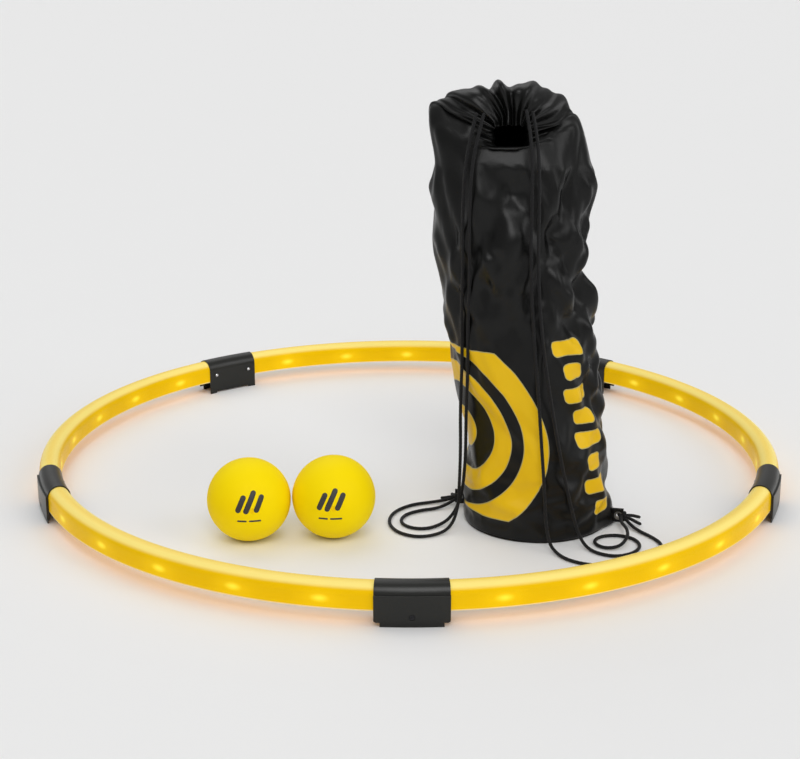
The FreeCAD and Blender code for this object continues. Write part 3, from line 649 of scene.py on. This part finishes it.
def tie_knot(side):
    """A knot and its two cut tails."""
    lines = [(knot_points(Vector(metres(KNOTS[side])), (0.35, -0.8, 0.45)), 1.95 * MM)]
    lines += [(spline_line("tail", route), CORD_RADIUS) for route in TAIL_ROUTES[side]]
    tubes = [braided_tube(line, radius, spacing=0.9 * MM) for line, radius in lines]
    verts, faces = joined(tube[:2] for tube in tubes)
    places = [place for tube in tubes for place in tube[2]]
    piece = make_piece("drawcord_knot_" + side, verts, faces, "bag", "cord_black", ["cord_knots"])
    store_places(piece, "braid", places)
    return piece


def lay_cord(name):
    """A braided drawcord along its route, down to its knot."""
    line = spline_line(name + "_line", CORD_ROUTES[name])
    verts, faces, places = braided_tube(line, CORD_RADIUS)
    cord = make_piece(name + "_braid", verts, faces, "bag", "cord_black", [name])
    store_places(cord, "braid", places)


# ---------- the balls
BALL_RADIUS = 48.0 * MM
BALL_WALL = 1.7 * MM
VALVE_HOLE = 3.02 * MM


def ball_profile():
    """From the far pole over the skin to the valve hole, and back inside."""
    skin, lining = [], []
    open_angle = math.asin((VALVE_HOLE + 0.5 * MM) / BALL_RADIUS)
    steps = 88
    for step in range(steps + 1):
        angle = math.pi - (math.pi - open_angle) * step / steps
        band = math.exp(-((angle - math.pi / 2) / 0.008) ** 2)
        radius = BALL_RADIUS + 0.10 * MM * band
        skin.append((radius * math.sin(angle), radius * math.cos(angle)))
    rim = math.sqrt(BALL_RADIUS ** 2 - VALVE_HOLE ** 2)
    lip = [(VALVE_HOLE + 0.15 * MM, rim - 0.06 * MM), (VALVE_HOLE, rim - 0.35 * MM)]
    inner = BALL_RADIUS - BALL_WALL
    inner_angle = math.asin(VALVE_HOLE / inner)
    lining_steps = 32
    for step in range(lining_steps + 1):
        angle = inner_angle + (math.pi - inner_angle) * step / lining_steps
        lining.append((inner * math.sin(angle), inner * math.cos(angle)))
    skin[0] = (0.0, skin[0][1])
    lining[-1] = (0.0, lining[-1][1])
    return skin + lip + lining


def bar_on_ball(centre, turn, middle, length, width, lean):
    """A printed bar with round ends, laid on the skin: points and faces of a thin closed patch."""
    stations, across = 18, 4
    top, bottom = [], []
    for station in range(stations + 1):
        t = -math.cos(math.pi * station / stations)
        from_end = (1 - abs(t)) * length / 2
        half = width / 2 * math.sqrt(max(0.002, 1 - (1 - min(1.0, from_end / (width / 2))) ** 2))
        for step in range(across + 1):
            s = half * (2 * step / across - 1)
            up = t * length / 2
            flat = Vector((middle[0] + s * math.cos(lean) + up * math.sin(lean),
                           middle[1] - s * math.sin(lean) + up * math.cos(lean)))
            reach = flat.length
            way = Vector((math.sin(reach / BALL_RADIUS) * flat.x / max(reach, 1e-9),
                          math.sin(reach / BALL_RADIUS) * flat.y / max(reach, 1e-9),
                          math.cos(reach / BALL_RADIUS)))
            top.append(centre + turn @ way * (BALL_RADIUS + 0.12 * MM))
            bottom.append(centre + turn @ way * (BALL_RADIUS - 0.05 * MM))
    columns = across + 1
    count = len(top)
    faces = grid_faces(stations + 1, columns, closed=False)
    under = [tuple(index + count for index in face)[::-1] for face in faces]
    border = ([row * columns for row in range(stations + 1)]
              + [stations * columns + step for step in range(1, columns)]
              + [row * columns + across for row in range(stations - 1, -1, -1)]
              + [step for step in range(across - 1, 0, -1)])
    rim = [(a, b, b + count, a + count) for a, b in zip(border, border[1:] + border[:1])]
    return top + bottom, faces + under + rim


# Bars of the generic mark: middle across and up from the valve, length, width and lean.
MARK_BARS = [
    (-0.0105, 0.004, 0.022, 0.0062, 0.42), (0.0, 0.006, 0.029, 0.0062, 0.42),
    (0.0105, 0.004, 0.022, 0.0062, 0.42),
    (-0.0095, -0.0165, 0.011, 0.0022, math.pi / 2), (0.0055, -0.0165, 0.014, 0.0022, math.pi / 2)]


def make_ball(side):
    low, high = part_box("ball_" + side)
    centre = (low + high) / 2
    valve_low, valve_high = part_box("ball_%s_valve" % side)
    way = ((valve_low + valve_high) / 2 - centre).normalized()
    right = way.cross(UP).normalized() * -1
    up = way.cross(right)
    if up.z < 0:
        up = -up
    turn = Matrix((right, up, way)).transposed()
    verts, faces = revolved(ball_profile(), 112, turn, centre)
    make_piece("ball_%s_skin" % side, verts, faces, "ball_" + side, "ball_yellow", ["ball_" + side])
    shift = Vector((-0.0025, 0.004))
    verts, faces = joined(bar_on_ball(centre, turn, (across + shift.x, rise + shift.y), length, width, lean)
                          for across, rise, length, width, lean in MARK_BARS)
    mark = make_piece("ball_%s_mark" % side, verts, faces, "ball_" + side, "ball_yellow")
    mark.data.materials.clear()
    mark.data.materials.append(INK)


# ---------- the bag
# The stuffed part of the bag: height, middle X, middle Y, half width, half depth.
BAG_SECTIONS = [
    (0.003, 0.150, -0.153, 0.0850, 0.0850), (0.040, 0.150, -0.153, 0.0860, 0.0855),
    (0.110, 0.147, -0.152, 0.0810, 0.0785), (0.200, 0.1295, -0.150, 0.0815, 0.0695),
    (0.290, 0.1180, -0.149, 0.0810, 0.0635), (0.380, 0.1150, -0.148, 0.0855, 0.0600),
    (0.425, 0.1130, -0.147, 0.0830, 0.0530)]
BAG_COLUMNS = 128
BODY_ROWS, TOP_ROWS = 84, 36
SHOULDER = 0.425                      # where the stuffing ends and the gathered top begins
MOUTH = Vector((0.1100, -0.1795, 0.4640))
MOUTH_WIDE, MOUTH_HIGH = 0.025, 0.021
HEM = 0.014
HEM_ROWS = 8                          # rows of cloth inside the drawcord
PRINT_RADIUS = 0.083                  # of the cylinder that the print is laid out on


def section_slope(index):
    """How each value of a bag section changes with height there."""
    low = BAG_SECTIONS[max(0, index - 1)]
    high = BAG_SECTIONS[min(len(BAG_SECTIONS) - 1, index + 1)]
    return [(b - a) / (high[0] - low[0]) for a, b in zip(low[1:], high[1:])]


def bag_section(height):
    """Middle X and Y, half width and half depth of the stuffed part at a height, on a smooth curve."""
    height = min(max(height, BAG_SECTIONS[0][0]), BAG_SECTIONS[-1][0])
    index = 0
    while index < len(BAG_SECTIONS) - 2 and height > BAG_SECTIONS[index + 1][0]:
        index += 1
    low, high = BAG_SECTIONS[index], BAG_SECTIONS[index + 1]
    slopes = zip(section_slope(index), section_slope(index + 1))
    tall = high[0] - low[0]
    t = (height - low[0]) / tall
    return [(2 * t ** 3 - 3 * t * t + 1) * a + (3 * t * t - 2 * t ** 3) * b
            + ((t ** 3 - 2 * t * t + t) * slope_a + (t ** 3 - t * t) * slope_b) * tall
            for a, b, (slope_a, slope_b) in zip(low[1:], high[1:], slopes)]


# The slack folds that wind round the bag: twist per metre, spread round and up, depth and place.
FOLDS = ((9.0, 1.7, 4.5, 0.0190, 2.0), (-7.0, 2.1, 6.0, 0.0160, 9.0), (4.0, 3.4, 10.0, 0.0050, 5.0))


def fold_depth(bearing, height):
    """How far the slack folds stand out of the bag."""
    depth = 0.0
    for twist, around, along, share, place in FOLDS:
        turn = bearing + twist * height
        spot = Vector((math.cos(turn) * around, math.sin(turn) * around, height * along + place))
        value = noise.noise(spot)
        depth += share * (0.42 - math.sqrt(value * value + 0.006) * 1.7)
    low = min(1.0, max(0.0, (height - 0.10) / 0.14)) * 0.78 + 0.22
    low *= min(1.0, height / 0.03)
    high = min(1.0, max(0.0, (SHOULDER - height) / 0.05 + 0.5))
    facing_right = 0.75 + 0.35 * math.cos(bearing + 0.7)
    return depth * low * high * facing_right


def body_point(bearing, height, inset=0.0):
    """A point of the stuffed part, with its bulges, pulled out at the foot towards the two tabs."""
    middle_x, middle_y, half_x, half_y = bag_section(height)
    reach = 1.0
    foot = max(0.0, 1 - height / 0.055) ** 1.5
    for tab_bearing, pull in TAB_PULLS.values():
        apart = math.remainder(bearing - math.radians(tab_bearing), math.tau)
        reach += pull * foot * math.exp(-(apart / 0.22) ** 2)
    for at_bearing, at_height, tall, share in BULGES:
        apart = math.remainder(bearing - math.radians(at_bearing), math.tau)
        reach += share * math.exp(-(apart / 0.55) ** 2 - ((height - at_height) / tall) ** 2)
    reach += fold_depth(bearing, height) / half_x
    return Vector((middle_x + (half_x - inset) * reach * math.cos(bearing),
                   middle_y + (half_y - inset) * reach * math.sin(bearing), height))


# How far each tab pulls the foot out: bearing in degrees, share of the radius.
TAB_PULLS = {"left": (155.5, 0.05), "right": (-13.0, 0.12)}
# Where the cloth swells or is pinched: bearing in degrees, height, how tall, share of the radius.
BULGES = ((0.0, 0.408, 0.017, 0.09), (-5.0, 0.370, 0.012, -0.045), (0.0, 0.339, 0.016, 0.085),
          (-5.0, 0.302, 0.013, -0.04), (5.0, 0.262, 0.020, 0.035), (182.0, 0.405, 0.020, 0.05),
          (178.0, 0.335, 0.022, 0.03), (-60.0, 0.385, 0.020, 0.05), (-45.0, 0.300, 0.022, 0.05),
          (-70.0, 0.225, 0.025, 0.04), (-100.0, 0.330, 0.022, 0.04), (60.0, 0.360, 0.030, 0.05),
          (110.0, 0.280, 0.030, 0.05), (85.0, 0.200, 0.030, 0.04))


# The bag's top edge from left to right: X and height.
TOP_EDGE = [(0.022, 0.4880), (0.036, 0.4950), (0.063, 0.5000), (0.100, 0.5020), (0.140, 0.5040),
            (0.158, 0.5035), (0.172, 0.4960), (0.186, 0.4770)]


def top_edge(across):
    """How high the bag's top edge is at an X."""
    for left, right in zip(TOP_EDGE, TOP_EDGE[1:]):
        if across <= right[0]:
            share = max(0.0, (across - left[0]) / (right[0] - left[0]))
            return left[1] + (right[1] - left[1]) * share
    return TOP_EDGE[-1][1]


def top_path(bearing):
    """Control points from the shoulder over the bag's top edge to its drawn mouth and hem."""
    back, side = math.sin(bearing), math.cos(bearing)
    behind, before = max(0.0, back), max(0.0, -back)
    middle, front_edge = 0.105, 0.4485
    across = middle + 0.081 * side
    edge = top_edge(across)
    if back >= 0:
        tuft = math.exp(-((side + 0.12) / 0.74) ** 4) * min(1.0, behind * 3.0)
        lumps = 0.006 * noise.noise(Vector((side * 5.0, 4.0, 2.0))) * tuft
        crest = Vector((across, -0.134 + 0.010 * behind, edge - 0.001))
        over = Vector((middle + 0.056 * side, -0.157 - 0.016 * behind, edge - 0.009 + 0.019 * tuft + lumps))
    else:
        drop = (1 + back) ** 1.6
        crest = Vector((across, -0.136 - 0.050 * before ** 0.8, front_edge + (edge - front_edge) * drop))
        over = Vector((middle + 0.048 * side, -0.158 - 0.034 * before, 0.4475 + (edge - 0.4565) * drop))
    rim = MOUTH + Vector((MOUTH_WIDE * side, 0.003 * back, MOUTH_HIGH * back))
    hem_way = Vector((-0.5 * side * abs(side), -0.35 * behind + 0.8 * before + 0.3 * abs(side),
                      -1.0 * behind - 0.6 * before))
    return [crest, over, rim, rim + hem_way * HEM]


def smooth_through(points, count):
    """Steps of one length along a Catmull-Rom curve through the control points."""
    fine = []
    padded = [points[0] * 2 - points[1]] + points + [points[-1] * 2 - points[-2]]
    for a, b, c, d in zip(padded, padded[1:], padded[2:], padded[3:]):
        for step in range(12):
            t = step / 12
            fine.append(0.5 * ((2 * b) + (c - a) * t + (2 * a - 5 * b + 4 * c - d) * t * t
                               + (3 * b - a - 3 * c + d) * t ** 3))
    fine.append(points[-1])
    return evenly(fine, count)


def gather(bearing):
    """How far the drawcord's pleats stand out at a bearing, as a number between about -3 and 3."""
    behind = max(0.0, math.sin(bearing))
    swing = math.sin(13 * bearing + 1.7 * math.sin(3 * bearing + 0.6)) + 0.5 * math.sin(23 * bearing + 1.0)
    swing += 1.3 * noise.noise(Vector((math.cos(bearing), math.sin(bearing), 0.5)) * 4.0)
    return swing * (0.35 + 0.75 * min(1.0, behind * 2.5))


def bag_columns():
    """The bag's cloth before it is draped: for each column round the bag, points from foot to hem."""
    columns = []
    for column in range(BAG_COLUMNS):
        bearing = math.tau * column / BAG_COLUMNS - math.pi / 2
        body = [body_point(bearing, SHOULDER * level / 30 + 0.003) for level in range(30)]
        body.append(body_point(bearing, SHOULDER))
        lower = smooth_through(body, BODY_ROWS)
        upper = smooth_through([body[-1]] + top_path(bearing), TOP_ROWS)
        line = lower[:-1] + upper
        foot_rows = len(lower) - 1
        for row, point in enumerate(line):
            near_mouth = max(0.0, (row - foot_rows) / (len(line) - foot_rows))
            ridge = gather(bearing) * 0.0054 * near_mouth ** 1.4
            heart = Vector((0.115, -0.136, min(point.z, 0.46)))
            out = (point - heart).normalized()
            lump = noise.noise(point * 14.0) * 0.004 + noise.noise(point * 31.0 + Vector((7, 3, 1))) * 0.0015
            steady = min(1.0, row / 8)
            point += out * (ridge + lump * steady * (1 - near_mouth))
        columns.append(line)
    return columns


def stuffing():
    """What fills the bag, which the cloth rests on; it is removed again after the draping."""
    rows, sides = 60, 84
    foot, dome_from = 0.004, 0.86
    verts = []
    for row in range(rows + 1):
        share = row / rows
        height = foot + share * (SHOULDER - foot)
        dome = math.sqrt(max(0.0, 1 - max(0.0, (share - dome_from) / 0.14) ** 2))
        for side in range(sides):
            bearing = math.tau * side / sides
            point = body_point(bearing, height, inset=0.0060)
            middle = Vector((*bag_section(height)[:2], height))
            lump = 1 + 0.05 * noise.noise(Vector((math.cos(bearing), math.sin(bearing), height * 11.0)) * 1.2)
            verts.append(middle + (point - middle) * dome * lump)
    faces = grid_faces(rows + 1, sides) + end_faces(rows + 1, sides)
    filler = put("stuffing", mesh_of("stuffing", verts, faces))
    filler.modifiers.new("Collision", "COLLISION")
    filler.collision.thickness_outer = 1.5 * MM
    filler.collision.cloth_friction = 10
    return filler


def drape(piece, mouth_rows):
    """Let the cloth buckle under its own slack, held at its foot and by the drawcord at its mouth."""
    frames = 28
    top_from, top_hold = 0.70, 0.24
    filler = stuffing()
    mesh = piece.data
    held = piece.vertex_groups.new(name="held")
    slack = piece.vertex_groups.new(name="slack")
    rows = len(mesh.vertices) // BAG_COLUMNS
    for row in range(rows):
        ring = [row * BAG_COLUMNS + column for column in range(BAG_COLUMNS)]
        share = row / rows
        if row <= 1 or row in mouth_rows:
            held.add(ring, 1.0, "REPLACE")
        elif share > top_from:
            held.add(ring, top_hold, "REPLACE")
        slack.add(ring, min(1.0, max(0.0, share * 1.7 - 0.05)), "REPLACE")
    cloth = piece.modifiers.new("Cloth", "CLOTH")
    assign(cloth.settings, quality=6, mass=0.10, tension_stiffness=30, compression_stiffness=30,
           shear_stiffness=12, bending_stiffness=1.6, tension_damping=8, compression_damping=8,
           shear_damping=8, bending_damping=1.0, air_damping=1.5, vertex_group_mass="held",
           pin_stiffness=1.0, vertex_group_shrink="slack", shrink_min=0.0, shrink_max=-0.07)
    cloth.settings.effector_weights.gravity = 0.4
    assign(cloth.collision_settings, use_collision=True, distance_min=1.5 * MM, collision_quality=2,
           use_self_collision=False)
    assign(cloth.point_cache, frame_start=1, frame_end=frames)
    scene.frame_start, scene.frame_end = 1, frames
    for frame_number in range(1, frames + 1):
        scene.frame_set(frame_number)
    draped = bpy.data.meshes.new_from_object(piece.evaluated_get(bpy.context.evaluated_depsgraph_get()))
    piece.modifiers.remove(cloth)
    for vert, place in zip(mesh.vertices, draped.vertices):
        vert.co = place.co
    piece.vertex_groups.clear()
    bpy.data.meshes.remove(draped)
    bpy.data.objects.remove(filler)
    scene.frame_set(1)


def print_places(piece):
    """For each point: how far round from the front's middle, how high, and how much it faces the front."""
    places = []
    for vert in piece.data.vertices:
        middle_x, middle_y = bag_section(vert.co.z)[:2]
        bearing = math.atan2(vert.co.x - middle_x, middle_y - vert.co.y)
        places.append((bearing * PRINT_RADIUS, vert.co.z, math.cos(bearing)))
    return places


def make_bag():
    columns = bag_columns()
    rows = len(columns[0])
    verts = [columns[column][row] for row in range(rows) for column in range(BAG_COLUMNS)]
    bag = make_piece("bag_cloth", verts, grid_faces(rows, BAG_COLUMNS), "bag", "bag_nylon",
                     ["bag_body", "bag_casing"])
    drawn = rows - HEM_ROWS
    drape(bag, (drawn, drawn + 1))
    store_places(bag, "print_place", print_places(bag))
    thicken(bag)
    finer = bag.modifiers.new("finer", "SUBSURF")
    finer.levels = finer.render_levels = 1
    sew_back_seam(bag, rows)


def settled(piece):
    """Replace a piece's mesh by what its modifiers make of it."""
    shown = piece.evaluated_get(bpy.context.evaluated_depsgraph_get())
    made = bpy.data.meshes.new_from_object(shown)
    piece.modifiers.clear()
    piece.data = made
    made.shade_smooth()


THREAD = 0.28 * MM


def stitches(spots):
    """Points and faces of short raised stitches, each from its middle, direction, outward way and length."""
    verts, faces = [], []
    sides, stations = 6, 5
    for middle, ahead, out, length in spots:
        ahead = ahead.normalized()
        across = ahead.cross(out).normalized()
        out = across.cross(ahead).normalized()
        start = len(verts)
        for station in range(stations):
            t = 2 * station / (stations - 1) - 1
            swell = math.sqrt(max(0.04, 1 - t * t))
            lift = THREAD * (0.9 * (1 - t * t) - 0.35)
            for corner in range(sides):
                angle = math.tau * corner / sides
                verts.append(middle + ahead * (t * length / 2)
                             + out * (lift + THREAD * swell * math.sin(angle))
                             + across * (THREAD * swell * math.cos(angle)))
        faces += grid_faces(stations, sides, start) + end_faces(stations, sides, start)
    return verts, faces


def sewn_along(points, outward, pitch=2.8 * MM):
    """Stitch spots along a line on a surface; outward gives the way out at each of its points."""
    share = 0.7
    line = evenly(points, max(2, round(length_of(points) / pitch)))
    spots = []
    for a, b in zip(line, line[1:]):
        middle = (a + b) / 2
        nearest = min(range(len(points)), key=lambda index: (points[index] - middle).length_squared)
        out = outward[nearest]
        spots.append((middle + out * (0.45 * MM), b - a, out, (b - a).length * share))
    return spots


def sew_back_seam(bag, rows):
    """Two rows of stitches beside the seam up the middle of the bag's back."""
    points = [vert.co.copy() for vert in bag.data.vertices]
    normals = [vert.normal.copy() for vert in bag.data.vertices]
    spots = []
    back = BAG_COLUMNS // 2
    for column in (back - 1, back + 1):
        index = [row * BAG_COLUMNS + column for row in range(2, rows - HEM_ROWS - 6)]
        outward = []
        for i in index:
            away = points[i] - Vector((0.125, -0.145, points[i].z))
            outward.append(normals[i] if normals[i].dot(away) > 0 else -normals[i])
        spots += sewn_along([points[i] for i in index], outward)
    verts, faces = stitches(spots)
    make_piece("bag_seam_stitches", verts, faces, "bag", "cord_black")


def make_bag_base():
    """The round panel under the bag, puckered by its seam, and the piping that covers the seam."""
    low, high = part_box("bag_base")
    middle = (low + high) / 2
    radius = (high.x - low.x) / 2
    rings, sides = 26, 144
    verts = []
    for ring in range(rings):
        share = (ring + 0.5) / rings
        for side in range(sides):
            bearing = math.tau * side / sides
            reach = (radius - 4.5 * MM) * share
            ripple = math.sin(37 * bearing + 3 * math.sin(2 * bearing))
            pucker = max(0.0, share - 0.72) / 0.28 * 0.35 * MM * ripple
            sag = noise.noise(Vector((math.cos(bearing), math.sin(bearing), 0.0)) * share * 2.2) * 0.35 * MM
            rise = 1.35 * MM + pucker + sag * (1 - share)
            verts.append(ring_point(middle, reach, bearing, rise))
    faces = grid_faces(rings, sides) + end_faces(rings, sides)[:1]
    panel = make_piece("bag_base_panel", verts, faces, "bag", "bag_nylon", ["bag_base"])
    leave_unprinted(panel)
    thicken(panel)
    # the piping, with a dimple at each stitch
    stations, corners = 360, 10
    verts = []
    for station in range(stations):
        bearing = math.tau * station / stations
        thick = (1.45 + 0.10 * math.sin(bearing * 180)) * MM
        for corner in range(corners):
            angle = math.tau * corner / corners
            reach = radius - 4.0 * MM + thick * math.cos(angle)
            verts.append(ring_point(middle, reach, bearing, 1.62 * MM + thick * math.sin(angle)))
    faces = grid_faces(stations, corners)
    last = (stations - 1) * corners
    faces += [(last + c, last + (c + 1) % corners, (c + 1) % corners, c) for c in range(corners)]
    piping = make_piece("bag_base_piping", verts, faces, "bag", "bag_nylon", ["bag_base"])
    leave_unprinted(piping)


def make_tab(side):
    """A loop of folded cloth in the bag's foot seam, with an eye hole and a row of stitches round it."""
    node = "corner_tab_" + side
    low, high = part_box(node)
    bag_low, bag_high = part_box("bag_base")
    centre = (bag_low + bag_high) / 2
    centre.z = 0.0
    bearing = math.radians(TAB_PULLS[side][0])
    out = Vector((math.cos(bearing), math.sin(bearing), 0.0))
    across = UP.cross(out)
    length, thickness = 20.0 * MM, 2.9 * MM
    inside_foot = 2.9 * MM
    start = centre + out * ((bag_high.x - bag_low.x) / 2 - inside_foot)
    bottom, top = low.z, high.z

    # the folded band seen from above: out along one layer, round the fold and back
    stations, levels = 40, 18
    verts = []
    for level in range(levels + 1):
        v = 2 * level / levels - 1
        height = (bottom + top) / 2 + v * (top - bottom) / 2
        for station in range(stations):
            angle = math.tau * (station / stations)
            nose = 0.5 + 0.5 * abs(math.cos(angle)) ** 0.28 * (1 if math.cos(angle) > 0 else -1)
            reach = length * nose
            half = thickness / 2 * abs(math.sin(angle)) ** 0.35 * (1 - 0.32 * abs(v) ** 6)
            half *= 1 - 0.10 * math.exp(-((nose - 0.9) / 0.06) ** 2)
            curl = 0.35 * MM * math.sin(nose * 5.0 + v * 1.5)
            verts.append(start + out * reach + UP * (height - start.z)
                         + across * (half * (1 if math.sin(angle) > 0 else -1) + curl * nose))
    faces = grid_faces(levels + 1, stations) + end_faces(levels + 1, stations)
    tab = make_piece(node + "_cloth", verts, faces, "bag", "bag_nylon", [node])
    eye = start + out * (length * 0.7) + UP * ((bottom + top) / 2)
    eye_radius, reach = 3.45 * MM, 6 * MM
    hole = [(0.0, -reach), (eye_radius, -reach), (eye_radius, reach), (0.0, reach)]
    hole_verts, hole_faces = revolved(hole, 40, turn_to(across), eye)
    cutter = put("eye_cutter", mesh_of("eye_cutter", hole_verts, hole_faces))
    eyelet = tab.modifiers.new("eye", "BOOLEAN")
    eyelet.operation, eyelet.object, eyelet.solver = "DIFFERENCE", cutter, "EXACT"
    settled(tab)
    bpy.data.objects.remove(cutter)
    tab.data.materials.clear()
    tab.data.materials.append(MATERIALS["bag_nylon"])
    leave_unprinted(tab)
    spots = []
    inset = 1.6 * MM
    for face in (-1, 1):
        corners = [(4.0 * MM, bottom + inset), (length - inset, bottom + inset),
                   (length - inset, top - inset), (4.0 * MM, top - inset)]
        path = [start + out * reach + UP * height + across * (face * (thickness / 2 - 0.25 * MM))
                for reach, height in corners]
        spots += sewn_along(path, [across * face] * len(path), pitch=2.4 * MM)
    verts, faces = stitches(spots)
    make_piece(node + "_stitches", verts, faces, "bag", "cord_black")


# ---------- the stage
def lay_floor():
    half = 15.0
    corners = [(-half, -half, 0), (half, -half, 0), (half, half, 0), (-half, half, 0)]
    mesh = mesh_of("floor", corners, [(0, 1, 2, 3)])
    paper = Surface("floor", Base_Color=(0.86, 0.86, 0.86), Roughness=0.75, Specular_IOR_Level=0.1)
    mesh.materials.append(paper.material)
    plane = put("floor", mesh)


INK = printed_ink("mark_ink", (0.018, 0.018, 0.018))
set_camera()
set_lights()
lay_floor()
paint_nodes()
for which in ("left", "right"):
    tied = tie_knot(which)
    lay_cord("drawcord_%s_outer" % which)
    lay_cord("drawcord_%s_inner" % which)
    make_ball(which)
make_bag()
make_bag_base()
for which in ("left", "right"):
    make_tab(which)
